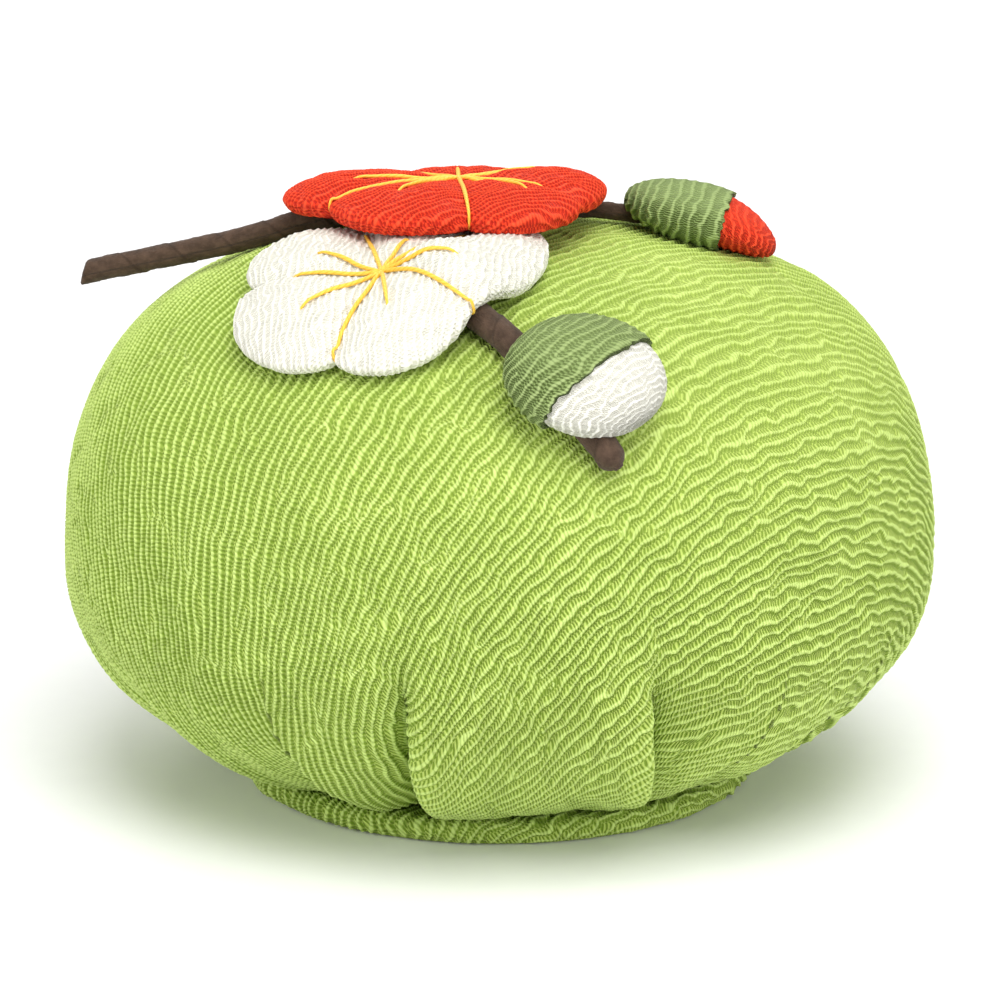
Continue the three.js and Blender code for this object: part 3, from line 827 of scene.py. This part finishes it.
def rod(stops, spacing, sides, radius_at, cap=0.5, end_slant=0.0, rounded=0.0):
    """A closed rod along a path; its radius is given for the distance along and the turn round it."""
    path, run = smooth_path(stops, spacing)
    along, side, other = path_frames(path)
    counts = [sides] * (len(path) + 2)
    quads, triangles = ring_faces(counts)
    rows, turn = ring_places(counts)
    index = np.clip(rows - 2, 0, len(path) - 1)
    radius = radius_at(run[index], turn)
    if rounded:
        short = np.clip(1 - run[index] / rounded, 0, 1)
        radius = radius * np.sqrt(1 - 0.85 * short ** 2)
    first, last = rows <= 1, rows >= len(path) + 2
    radius = np.where(first | last, radius * 0.82, radius)
    radius = np.where((rows == 0) | (rows == rows.max()), 0, radius)
    out = side[index] * np.cos(turn)[:, None] + other[index] * np.sin(turn)[:, None]
    points = path[index] + out * radius[:, None]
    bulge = np.where(rows == 0, -cap, np.where(rows == 1, -cap * 0.7, 0))
    bulge = np.where(rows == rows.max(), cap, np.where(rows == rows.max() - 1, cap * 0.7, bulge))
    points = points + along[index] * bulge[:, None]
    near_start = np.clip(1 - run[index] / (4 * spacing), 0, 1)
    points = points + along[index] * (end_slant * near_start * radius * np.sin(turn))[:, None]
    laid = np.stack([run[index] + bulge, turn * radius.max(), 0 * turn], axis=1)
    return points, quads, triangles, run[index], turn, laid


# ---- the branches ----

MAIN_BRANCH_RADIUS = 1.1
SIDE_BRANCH_RADIUS = 1.3
MAIN_BRANCH_END = (-38.2, 3.2, 46.7)
MAIN_BRANCH_REST = ((-24, 3.4), (-17, 3.3), (-10, 3.1), (0, 2.9), (9, 2.4), (15.5, 1.9))
SIDE_BRANCH_REST = ((9.8, -35.4), (7.2, -34), (1.8, -29.2), (-1.8, -25.2), (-5.5, -20.5))


def resting_stops(plan, radius):
    x, y = np.array(plan, float).T
    return over_crown(x, y, np.full(len(x), radius + CLEARANCE))


MAIN_BRANCH_THIN_SHARE = 0.72  # of its radius, at the end under the red bud
TAPE_PITCH = 4.6
TAPE_STEP = 0.09
MAIN_BRANCH_STOPS = np.concatenate([
    [MAIN_BRANCH_END], resting_stops(MAIN_BRANCH_REST, MAIN_BRANCH_RADIUS)])
SIDE_BRANCH_STOPS = resting_stops(SIDE_BRANCH_REST, SIDE_BRANCH_RADIUS)


def branch_wrap(name, stops, radius, seed, material, slant, rounded, thin_share=1.0):
    """Paper tape wound round the wire: a shallow step at each turn, and small lumps."""

    def winding(run, turn):
        return (run / TAPE_PITCH + turn / FULL_TURN) % 1

    def radius_at(run, turn):
        places = np.column_stack([run, turn * radius])
        lumps, _ = soft_noise(places, 1.6, seed)
        fine, _ = soft_noise(places, 0.5, seed + 1)
        step = TAPE_STEP * (winding(run, turn) - 0.5)
        thinner = 1 - (1 - thin_share) * smoothstep(run, 0.6 * run.max(), 0.85 * run.max())
        return (radius * (1 + 0.016 * lumps) + step + 0.02 * fine) * thinner

    points, quads, triangles, run, turn, laid = rod(stops, 0.14, 40, radius_at, 0.25, slant, rounded)
    seam = bell(winding(run, turn) - 1, 0.09) + bell(winding(run, turn), 0.03)
    piece = make_mesh(f"{name}_paper_tape", points, quads, triangles)
    keep_values(piece.data, "strand", np.clip(seam, 0, 1))
    keep_values(piece.data, "laid", laid)
    finish_piece(piece, "paper_tape", material, f"{name}_wrap")


# ---- the blossoms ----

BLOSSOM_THICKNESS = 2.9
BLOSSOM_RIM_HEIGHT = 1.3
BLOSSOM_SOLE = 0.28
BLOSSOM_REACH = 13.3  # about how far a petal reaches; its points are spaced by it
FLOSS_RADIUS = 0.2
STRANDS = 3  # twisted round each other in a length of floss
TWIST_PITCH = 2.0
TRIM_SPACING = 0.13

# Each petal: angle of the notch before it, its reach, how far across it and how long its short stitch
# is, and its lean (over 1 towards its far notch, under 1 towards its near one). The crepe's ridges:
# their spacing, heading in degrees, height and seed.
WHITE_BLOSSOM = {
    "name": "white",
    "middle": (-9.9, -18.8),
    "puff": 0.5,
    "dimple": 1.25,
    "edge": 3.5,
    "crepe": (0.62, 85, 0.075, 51),
    "notches": (11.1, 13, 13, 11, 10.2),
    "ties": (12, 12, 12, 8.6, 12),
    "petals": ((-45, 16.4, 0.25, 7.3, 4.5), (50, 15.2, 0.44, 7, 1), (100, 15.8, 0.6, 7.9, 0.6),
               (160, 13.4, 0.57, 8, 0.6), (246, 12.2, 0.46, 6.7, 1)),
}
RED_BLOSSOM = {
    "name": "red",
    "middle": (-3.6, 0.2),
    "puff": 0.3,
    "dimple": 0.75,
    "edge": 6,
    "crepe": (0.66, 26, 0.1, 61),
    "notches": (11.9, 11.3, 11.6, 12.2, 12),
    "ties": (9.6, 12, 12, 13, 13),
    "petals": ((-33, 13.1, 0.64, 8.3, 0.62), (50, 14, 0.5, 7, 1), (132, 15.3, 0.76, 9.7, 1),
               (208, 13.8, 0.4, 9.2, 1), (275, 14.7, 0.68, 9.8, 1)),
}
PRESSED_FROM_Y = -17
PRESSED_TO_Y = -10.5
PRESSED_SHARE = 0.55
RED_FRONT_Y = -2
RED_BACK_Y = 15


def side_branch_distance(x, y):
    """How far places of the plan are from the side branch where the white blossom hides it."""
    ends = np.array(SIDE_BRANCH_REST[2:], float)
    nearest = np.full_like(x, 1e9)
    for one, other in zip(ends[:-1], ends[1:]):
        run = other - one
        share = np.clip(((x - one[0]) * run[0] + (y - one[1]) * run[1]) / (run @ run), 0, 1)
        nearest = np.minimum(nearest, np.hypot(x - one[0] - share * run[0], y - one[1] - share * run[1]))
    return nearest


def white_lie(x, y):
    """How high the white blossom lies over the crown, and how full it stays there."""
    lift = 2 * SIDE_BRANCH_RADIUS - 0.3
    rest = 0.25 + lift * bell(side_branch_distance(x, y), 3.8)
    behind = smoothstep(y, PRESSED_FROM_Y, PRESSED_TO_Y)
    rest = rest + behind * (0.4 + 0.6 * smoothstep(-x, 13, 18) + 0.4 * smoothstep(x, -5, 1))
    return rest, 1 + (PRESSED_SHARE - 1) * behind


def red_lie(x, y):
    """The red blossom lies on the bun at the back, on the branch, and on the white one in front."""
    front = PRESSED_SHARE * BLOSSOM_THICKNESS + 2 * FLOSS_RADIUS + 0.4
    share = smoothstep(y, RED_FRONT_Y, RED_BACK_Y)
    front = front - 0.55 * smoothstep(x, 1, 11)
    curled = 0.4 * smoothstep(np.abs(x + 4), 6, 12)
    return front + (0.2 - front) * share + curled, np.ones_like(x)


LIES = {"white": white_lie, "red": red_lie}


def petal_place(spec, turn):
    """Direction, reach and place across its petal, for a turn round a blossom."""
    petals = spec["petals"]
    petal = (turn / FULL_TURN * len(petals)) % len(petals)
    index = np.minimum(petal.astype(int), len(petals) - 1)
    across = petal - index
    notches = np.array([row[0] for row in petals], float)
    spans = (np.roll(notches, -1) - notches) % 360
    reaches = np.array([row[1] for row in petals], float)
    angle = np.radians(notches[index] + spans[index] * across)
    leans = np.array([row[4] for row in petals], float)
    bulge = np.sqrt(np.sin(math.pi * np.clip(across, 0, 1) ** leans[index]))
    span = np.radians(spans[index])
    from_tie = np.minimum(across, 1 - across) * span
    notch_reaches = np.array(spec["notches"])
    low = notch_reaches[index] * (1 - across) + np.roll(notch_reaches, -1)[index] * across
    return angle, low + (reaches[index] - low) * bulge, across, from_tie


def blossom_top(spec, share):
    dome = np.sqrt(np.maximum(1 - share ** spec["edge"], 0))
    return BLOSSOM_RIM_HEIGHT + (BLOSSOM_THICKNESS - BLOSSOM_RIM_HEIGHT) * dome


def blossom_top_height(spec, turn, share):
    """Height of a blossom's puffed top: sunk in the middle and along the stitches."""
    _, reach, across, from_tie = petal_place(spec, turn)
    distance = share * reach
    away = distance * np.sin(np.minimum(from_tie, math.pi / 2))
    sunk = (0.2 + spec["puff"]) * bell(away, 1.25) * smoothstep(distance, 0, 4)
    sunk = sunk + spec["dimple"] * bell(distance, 3.4)
    for index, row in enumerate(spec["petals"]):
        own = np.floor(turn / FULL_TURN * len(spec["petals"])) == index
        span = (spec["petals"][(index + 1) % 5][0] - row[0]) % 360
        beside = distance * (across - row[2]) * math.radians(span)
        along = smoothstep(distance, 1.5, 3.5) * (1 - smoothstep(distance, row[3] - 0.5, row[3] + 1.0))
        sunk = sunk + np.where(own, 0.3 * bell(beside, 0.8) * along, 0)
    puff = spec["puff"] * np.sin(math.pi * across) * bell(share - 0.68, 0.34)
    edge = np.sqrt(np.maximum(1 - share ** 6, 0))
    return blossom_top(spec, share) + (puff - sunk) * edge


def blossom_point(spec, turn, share, height, beyond=0.0):
    """A blossom's point as it lies on the bun, and its place on the flat plan."""
    angle, reach, _, _ = petal_place(spec, turn)
    distance = share * reach + beyond
    x, y = walk_over_crown(spec["middle"], angle, distance)
    rest, fullness = LIES[spec["name"]](x, y)
    return over_crown(x, y, rest + height * fullness), polar(distance, angle)


def blossom_section(spec, spacing):
    """Rows of a blossom from the middle of its top, over the rim, to the middle of its sole."""
    dense = 1 - np.linspace(1, 0, 400) ** 2
    top = blossom_top(spec, dense)
    turn = np.linspace(0, math.pi / 2, 60)[1:]
    rim_share = 1 - 0.05 * (1 - np.cos(turn))
    rim_height = BLOSSOM_RIM_HEIGHT - (BLOSSOM_RIM_HEIGHT - BLOSSOM_SOLE) * np.sin(turn)
    share = np.concatenate([dense, rim_share])
    height = np.concatenate([top, rim_height])
    run = np.concatenate([[0], np.cumsum(np.hypot(np.diff(share) * BLOSSOM_REACH, np.diff(height)))])
    even = np.arange(spacing, run[-1], spacing)
    shares, heights = np.interp(even, run, share), np.interp(even, run, height)
    on_top = even <= np.interp(1 - 1e-9, dense, run[:400])
    back = np.arange(0.85, 0.03, -0.06)
    shares = np.concatenate([shares, back])
    heights = np.concatenate([heights, np.full(len(back), BLOSSOM_SOLE)])
    on_top = np.concatenate([on_top, np.zeros(len(back), bool)])
    return shares, heights, on_top


def blossom_front(spec, material):
    """The puffed front cloth of a blossom, with its crepe ridges and its thick rolled rim."""
    shares, heights, on_top = blossom_section(spec, TRIM_SPACING)
    quads, triangles, rows, turn = ringed_body(FULL_TURN * shares * 13.5, TRIM_SPACING)
    share = by_row(rows, 0, shares, 0)
    upper = by_row(rows, True, on_top, False)
    height = by_row(rows, BLOSSOM_THICKNESS, heights, BLOSSOM_SOLE)
    height = np.where(upper, blossom_top_height(spec, turn, share), height)
    smooth, flat = blossom_point(spec, turn, share, height)
    normals = point_normals(smooth, quads, triangles)
    beyond = by_row(rows, 0, np.cumsum(np.where(on_top, 0, TRIM_SPACING)), 14)
    flat = flat + polar(beyond, np.arctan2(flat[:, 1], flat[:, 0]))
    pitch, heading, ridge_size, seed = spec["crepe"]
    ridges, strength = crepe_ridges(flat, pitch, math.radians(heading), 0.9, seed)
    lumps, _ = soft_noise(flat, 3.2, seed + 7)
    below = np.where(upper, 0, 1 - height / BLOSSOM_RIM_HEIGHT)
    raised = (ridge_height(ridges) * strength * ridge_size + 0.07 * lumps) * (1 - 0.8 * below)
    points = smooth + normals * raised[:, None]
    piece = make_mesh(f"{spec['name']}_blossom_crepe_front", points, quads, triangles, ridges, flat)
    finish_piece(piece, f"{spec['name']}_crepe", material, f"{spec['name']}_blossom_front")


LAYER_REACH = 0.9


def blossom_layer(spec, low, top_at):
    """Points, faces, plan and flat layout of a layer inside a blossom.

    Its underside is level, and its top is at a height given for each turn and share of the reach. The
    layout has the underside's points further out, so that its two sides don't lie on each other.
    """
    shares = np.arange(0.05, 1.0, 0.04)
    shares = np.concatenate([shares, [0.99, 1.0, 0.99], shares[::-1]])
    quads, triangles, rows, turn = ringed_body(FULL_TURN * shares * 13, 0.5)
    share = by_row(rows, 0, shares, 0) * LAYER_REACH
    upper = by_row(rows, True, np.arange(len(shares)) < len(shares) // 2, False)
    height = np.where(upper, np.maximum(top_at(turn, share), low + 0.05), low)
    points, plan = blossom_point(spec, turn, share, height)
    return points, quads, triangles, plan, plan * np.where(upper, 1.0, 2.2)[:, None]


def blossom_back(spec, material):
    """The thin cloth behind a blossom."""

    def top_at(turn, share):
        return 0 * share + BLOSSOM_SOLE - 0.1

    points, quads, triangles, plan, flat = blossom_layer(spec, 0.0, top_at)
    ridges, _ = crepe_ridges(plan, 0.7, math.radians(80), 0.9, spec["crepe"][3] + 3)
    piece = make_mesh(f"{spec['name']}_blossom_crepe_back", points, quads, triangles, ridges, flat)
    finish_piece(piece, f"{spec['name']}_crepe", material, f"{spec['name']}_blossom_back")


def blossom_cotton(spec, material):
    """The cotton that puffs a blossom out."""

    def top_at(turn, share):
        return blossom_top_height(spec, turn, share) - 0.75

    points, quads, triangles, _, flat = blossom_layer(spec, BLOSSOM_SOLE + 0.15, top_at)
    piece = make_mesh(f"{spec['name']}_blossom_cotton", points, quads, triangles, flat=flat)
    finish_piece(piece, "cotton_filling", material, f"{spec['name']}_blossom_padding")


def stitch(name, stops, material, node):
    """A length of stranded floss, finer towards its end."""

    def groove(run, turn):
        return np.abs(np.sin(STRANDS / 2 * (turn - FULL_TURN * run / TWIST_PITCH)))

    def radius_at(run, turn):
        finer = 1 - 0.4 * smoothstep(run, 0.5 * run.max(), run.max())
        return FLOSS_RADIUS * (0.92 + 0.08 * np.sqrt(groove(run, turn))) * finer

    points, quads, triangles, run, turn, _ = rod(stops, 0.1, 24, radius_at, FLOSS_RADIUS)
    piece = make_mesh(name, points, quads, triangles)
    # These grooves between strands are where the floss material paints shade.
    keep_values(piece.data, "strand", groove(run, turn))
    finish_piece(piece, "yellow_floss", material, node)


def stitch_stops(spec, petal, across, start, end):
    """Places of a stitch on top of a blossom, between two distances from its middle."""
    turn = np.full(9, (petal + across) / len(spec["petals"]) * FULL_TURN)
    _, reach, _, _ = petal_place(spec, turn)
    share = np.linspace(start, end, 9) / reach
    lie = FLOSS_RADIUS * 0.9 + 0.04
    height = blossom_top_height(spec, turn, share) + lie
    height[0] -= FLOSS_RADIUS * 0.5
    height[-1] -= FLOSS_RADIUS * 2.5
    points, _ = blossom_point(spec, turn, share, height)
    return points


def long_stitch_stops(spec, petal):
    """A long stitch runs out to a notch and down over the rim."""
    if spec["ties"][petal] < spec["notches"][petal]:
        return stitch_stops(spec, petal, 0.0, 0.15, spec["ties"][petal])
    on_top = stitch_stops(spec, petal, 0.0, 0.15, spec["notches"][petal] - 0.5)
    turn = np.full(4, petal / len(spec["petals"]) * FULL_TURN)
    beyond = np.array([-0.05, 0.22, 0.26, -0.3])
    height = np.array([0.75, 0.3, -0.35, -0.9]) + BLOSSOM_RIM_HEIGHT
    over_rim, _ = blossom_point(spec, turn, np.ones(4), height, beyond)
    on_top[-1, 2] += FLOSS_RADIUS * 2.5
    return np.concatenate([on_top, over_rim])


def blossom_stitches(spec, material):
    """A long stitch to each notch between petals, and a short one on each petal."""
    for petal, row in enumerate(spec["petals"]):
        name = f"{spec['name']}_petal_tie_{petal + 1}"
        stitch(f"{name}_floss", long_stitch_stops(spec, petal), material, name)
        name = f"{spec['name']}_stamen_{petal + 1}"
        stitch(f"{name}_floss", stitch_stops(spec, petal, row[2], 0.3, row[3]), material, name)


def blossom(spec, cloth, cotton, floss):
    """A puffed blossom: its front and back cloths, the cotton between them, and its stitches."""
    blossom_front(spec, cloth)
    blossom_back(spec, cloth)
    blossom_cotton(spec, cotton)
    blossom_stitches(spec, floss)


# ---- the buds ----

# A bud's heading and its stretches along and down the slope; the share of its half length where the
# calyx ends; how far its tip droops; how boxy it is; how far its ridges are evened out on top, lower
# and with their painted crest highlight and groove shade faded; and each cloth's ridge spacing, ridge
# height and seed.
WHITE_BUD = {
    "name": "white", "middle": (7.25, -31.5), "heading": -47, "length": 13.4, "width": 13.0,
    "height": 7.0, "seam": 0.12, "droop": 0.2, "power": 2.2, "stretch": (1.09, 0.93), "evened_on_top": 0.8,
    "petal_crepe": (0.7, 0.03, 71), "calyx_crepe": (0.95, 0.12, 73),
}
RED_BUD = {
    "name": "red", "middle": (18.35, 1.2), "heading": -8, "length": 15.1, "width": 11,
    "height": 5.7, "seam": 0.27, "droop": 1.5, "power": 2.1, "stretch": (1.0, 1.0), "evened_on_top": 1.0,
    "petal_crepe": (0.85, 0.08, 75), "calyx_crepe": (1.1, 0.13, 77),
}
BUD_GAP = 0.12  # over the bun and the branch


def bud_frame(bud):
    """Middle of a bud, and its directions: stalk to tip, across, and out from the bun."""
    x, y = np.array(bud["middle"][:1], float), np.array(bud["middle"][1:], float)
    out = crown_normal(x, y)[0]
    heading = math.radians(bud["heading"])
    ahead = np.array([math.cos(heading), math.sin(heading), 0])
    ahead = unit(ahead - out * (ahead @ out))
    middle = over_crown(x, y, np.array([bud["height"] * 0.42]))[0]
    return middle, ahead, np.cross(out, ahead), out


def settle(points, gap, stops, radius, out):
    """Lifts points off the bun, and off the top of a branch that they would lie in or under."""
    path, _ = smooth_path(stops, 0.4)
    nearest = np.full(len(points), 1e9)
    foot = np.zeros_like(points)
    for place in path:
        level = points - place
        level = level - np.outer(level @ out, out)
        distance = np.linalg.norm(level, axis=1)
        closer = distance < nearest
        nearest = np.where(closer, distance, nearest)
        foot = np.where(closer[:, None], place, foot)
    clear = np.sqrt(np.maximum((radius + gap) ** 2 - nearest ** 2, 0))
    height = (points - foot) @ out
    lifted = points + np.outer(np.maximum(clear - height, 0), out)
    points = np.where((nearest < radius + gap)[:, None], lifted, points)
    points[:, 2] = np.maximum(points[:, 2], crown_height(points[:, 0], points[:, 1]) + gap)
    return points


def bud_rows(bud, inset, end, wall, spacing):
    """Places along a bud's section, and its rows' places along it, widths and heights.

    With a wall the rows turn in at the cup's edge and go back inside it; the last number counts the
    outer rows.
    """
    half, wide, tall = bud["length"] / 2 - inset, bud["width"] / 2 - inset, bud["height"] / 2 - inset
    turns = np.linspace(0, math.acos(-end), int(half * 2.6 / spacing))
    ahead = -np.cos(turns)
    girth = np.sin(turns) ** (2 / bud["power"])
    if wall:
        inner = slice(None, None, -3)
        rows_ahead = np.concatenate([ahead[1:] * half, ahead[inner] * (half - wall) + wall * 0.2])
        rows_wide = np.concatenate([girth[1:] * wide, girth[inner] * (wide - wall)])
        rows_tall = np.concatenate([girth[1:] * tall, girth[inner] * (tall - wall)])
        outer_count = len(ahead) - 1
    else:
        rows_ahead, rows_wide, rows_tall = ahead[1:-1] * half, girth[1:-1] * wide, girth[1:-1] * tall
        outer_count = len(rows_ahead)
    keep = rows_wide > 0.05
    return ahead, rows_ahead[keep], rows_wide[keep], rows_tall[keep], outer_count


def bud_body(bud, name, inset, end, wall, spacing, crepe, slot, material, node, stops, radius):
    """A bud's egg, up to a share of its half length; with a wall it is a hollow cup."""
    half = bud["length"] / 2 - inset
    ahead, rows_ahead, rows_wide, rows_tall, outer_count = bud_rows(bud, inset, end, wall, spacing)
    quads, triangles, rows, turn = ringed_body(FULL_TURN * np.maximum(rows_wide, 0.1) * 0.85, spacing)
    run = np.hypot(np.diff(rows_ahead, prepend=rows_ahead[0]), np.diff(rows_wide, prepend=0))
    arc = by_row(rows, 0, np.cumsum(run), 0)
    along = by_row(rows, ahead[0] * half, rows_ahead, rows_ahead[-1] if wall else ahead[-1] * half)
    breadth = by_row(rows, 0, rows_wide, 0)
    close = 0
    if wall:
        close = smoothstep(along, end * half - 1.2, end * half)
        along = along + close * 0.12 * soft_noise(polar(12, turn), 2.5, 77)[0]
    middle, forward, across, out = bud_frame(bud)
    offset = np.outer(along, forward) + np.outer(breadth * np.cos(turn), across)
    level = unit(np.cross(out, (0, 0, 1.0)))
    downhill = np.cross(level, out)
    stretch_level, stretch_down = bud["stretch"]
    offset = (np.outer(offset @ level * stretch_level, level)
              + np.outer(offset @ downhill * stretch_down, downhill))
    droop = bud["droop"] * np.clip(along / half, 0, 1) ** 2
    points = middle + offset - np.outer(by_row(rows, 0, rows_tall, 0) * np.sin(turn) + droop, out)
    normals = point_normals(points, quads, triangles)
    ridges, evened = None, 0.0
    flat = polar(arc, turn)
    if crepe:
        pitch, ridge_size, seed = crepe
        outer = rows <= outer_count
        flat = np.column_stack([arc, 0.5 * bud["width"] * wrapped(turn + math.pi / 2)])
        ridges, strength = crepe_ridges(flat, pitch, math.radians(90), 0.7, seed)
        # Evened where the bud faces up: its ridges are lower there, and their painted crest highlight and
        # groove shade fade.
        evened = smoothstep(normals[:, 2], 0.35, 0.9) * bud["evened_on_top"]
        raised = ridge_height(ridges) * strength * ridge_size * outer * smoothstep(breadth, 0.3, 2.0)
        raised = raised * (1 - 0.7 * evened) * (1 - 0.75 * close)
        points = points + normals * raised[:, None]
        flat = flat + np.where(outer, 0, 40)[:, None]
    points = settle(points, BUD_GAP, stops, radius, out)
    piece = make_mesh(name, points, quads, triangles, ridges, flat, evened)
    return finish_piece(piece, slot, material, node)


def bud(spec, petal_cloth, calyx_cloth, cotton, stops, radius):
    """A bud: its calyx, the petal cloth that shows in front of it, and the cotton inside."""
    name = spec["name"]
    calyx = bud_body(spec, f"{name}_bud_crepe_calyx", 0.0, spec["seam"], 0.45, TRIM_SPACING,
                     spec["calyx_crepe"], "sage_crepe", calyx_cloth, f"{name}_bud_calyx", stops, radius)
    petal = bud_body(spec, f"{name}_bud_crepe_petal", 0.5, 1, 0, TRIM_SPACING,
                     spec["petal_crepe"], f"{name}_crepe", petal_cloth, f"{name}_bud_petal", stops, radius)
    bud_body(spec, f"{name}_bud_cotton", 1.3, 1, 0, 0.6,
             None, "cotton_filling", cotton, f"{name}_bud_padding", stops, radius + 0.8)


def refinish(name, material):
    """Gives a CAD node that keeps its shape a better material."""
    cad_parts[name].material_slots[0].material = material


# ---- the scene round the object ----

CAMERA_DISTANCE = 450.0
CAMERA_RISE = math.radians(15.12)
CAMERA_LOOK = (0.12, 0.0, 25.75)
SENSOR_WIDTH = 36.0
LENS = 174.5


def add_camera():
    camera = bpy.data.objects.new("camera", bpy.data.cameras.new("camera"))
    bpy.context.scene.collection.objects.link(camera)
    camera.data.sensor_width = SENSOR_WIDTH
    camera.data.lens = LENS
    camera.data.clip_start = 0.01
    back = Vector((0, -math.cos(CAMERA_RISE), math.sin(CAMERA_RISE)))
    camera.location = (Vector(CAMERA_LOOK) + back * CAMERA_DISTANCE) * MM
    camera.rotation_euler = (math.pi / 2 - CAMERA_RISE, 0, 0)
    bpy.context.scene.camera = camera


# Each lamp's place and width in metres, and its power in watts; the floor's lamp shines straight down.
LIGHTS = (
    ("key_light", (0.1, -0.4, 0.75), 0.6, 5.9),
    ("fill_light", (-0.7, -0.5, 0.35), 0.6, 2.9),
    ("front_light", (0.65, -0.65, 0.3), 0.5, 2.9),
    ("floor_light", (0, 0.75, 0.7), 0.9, 5.0),
)


def add_light(name, place, size, watts):
    """A soft square lamp that looks at the object."""
    lamp = bpy.data.objects.new(name, bpy.data.lights.new(name, "AREA"))
    bpy.context.scene.collection.objects.link(lamp)
    lamp.data.size = size
    lamp.data.energy = watts
    lamp.location = place
    target = Vector((0, 0, BUN_TOP * MM / 2))
    lamp.rotation_euler = (Vector(place) - target).to_track_quat("Z", "Y").to_euler()


def add_studio():
    floor_size = 3.0
    below = 0.00005
    bpy.ops.mesh.primitive_grid_add(x_subdivisions=8, y_subdivisions=8, size=floor_size)
    floor = bpy.context.object
    floor.name = "studio_floor"
    floor.location.z = -below
    floor.data.materials.append(floor_material())
    world = bpy.data.worlds.new("studio")
    world.use_nodes = True
    backdrop = world.node_tree.nodes["Background"]
    backdrop.inputs["Color"].default_value = (1, 1, 1, 1)
    backdrop.inputs["Strength"].default_value = 0.4
    bpy.context.scene.world = world
    bpy.context.scene.view_settings.view_transform = "Standard"
    for light in LIGHTS:
        add_light(*light)
    bpy.data.objects["floor_light"].rotation_euler = (0, 0, 0)


add_camera()
add_studio()

# Each crepe: its colour on a ridge's crest, partly its thread floats and partly a painted highlight,
# beside it and between threads; how far apart the threads are and their heading in degrees; and how
# dark the painted shade in the groove behind a ridge is.
green_crepe = crepe_material(
    "green_crepe", (205, 227, 132), (190, 211, 105), (116, 144, 38), 0.36, -65, 0.7)
white_crepe = crepe_material(
    "white_crepe", (247, 246, 236), (241, 240, 228), (224, 221, 205), 0.3, 5, 0.7)
red_crepe = crepe_material(
    "red_crepe", (246, 82, 44), (238, 64, 28), (184, 30, 10), 0.3, -60, 0.3)
sage_crepe = crepe_material(
    "sage_crepe", (160, 178, 116), (142, 162, 98), (78, 94, 40), 0.42, 0, 0.35)
tape = tape_material()
floss = floss_material()
cotton = cotton_material()
steel = steel_material()

cushion_cover(green_crepe)
cushion_stuffing(cotton)
base_cover(green_crepe)
branch_wrap("main_branch", MAIN_BRANCH_STOPS, MAIN_BRANCH_RADIUS, 41, tape, 0.5, 0.0,
            MAIN_BRANCH_THIN_SHARE)
branch_wrap("side_branch", SIDE_BRANCH_STOPS, SIDE_BRANCH_RADIUS, 43, tape, 0.0, 1.2)
blossom(WHITE_BLOSSOM, white_crepe, cotton, floss)
blossom(RED_BLOSSOM, red_crepe, cotton, floss)
bud(WHITE_BUD, white_crepe, sage_crepe, cotton, SIDE_BRANCH_STOPS, SIDE_BRANCH_RADIUS)
bud(RED_BUD, red_crepe, sage_crepe, cotton, MAIN_BRANCH_STOPS, MAIN_BRANCH_RADIUS)
refinish("base_card", card_material())
refinish("gathering_thread", thread_material())
refinish("main_branch_wire", steel)
refinish("side_branch_wire", steel)
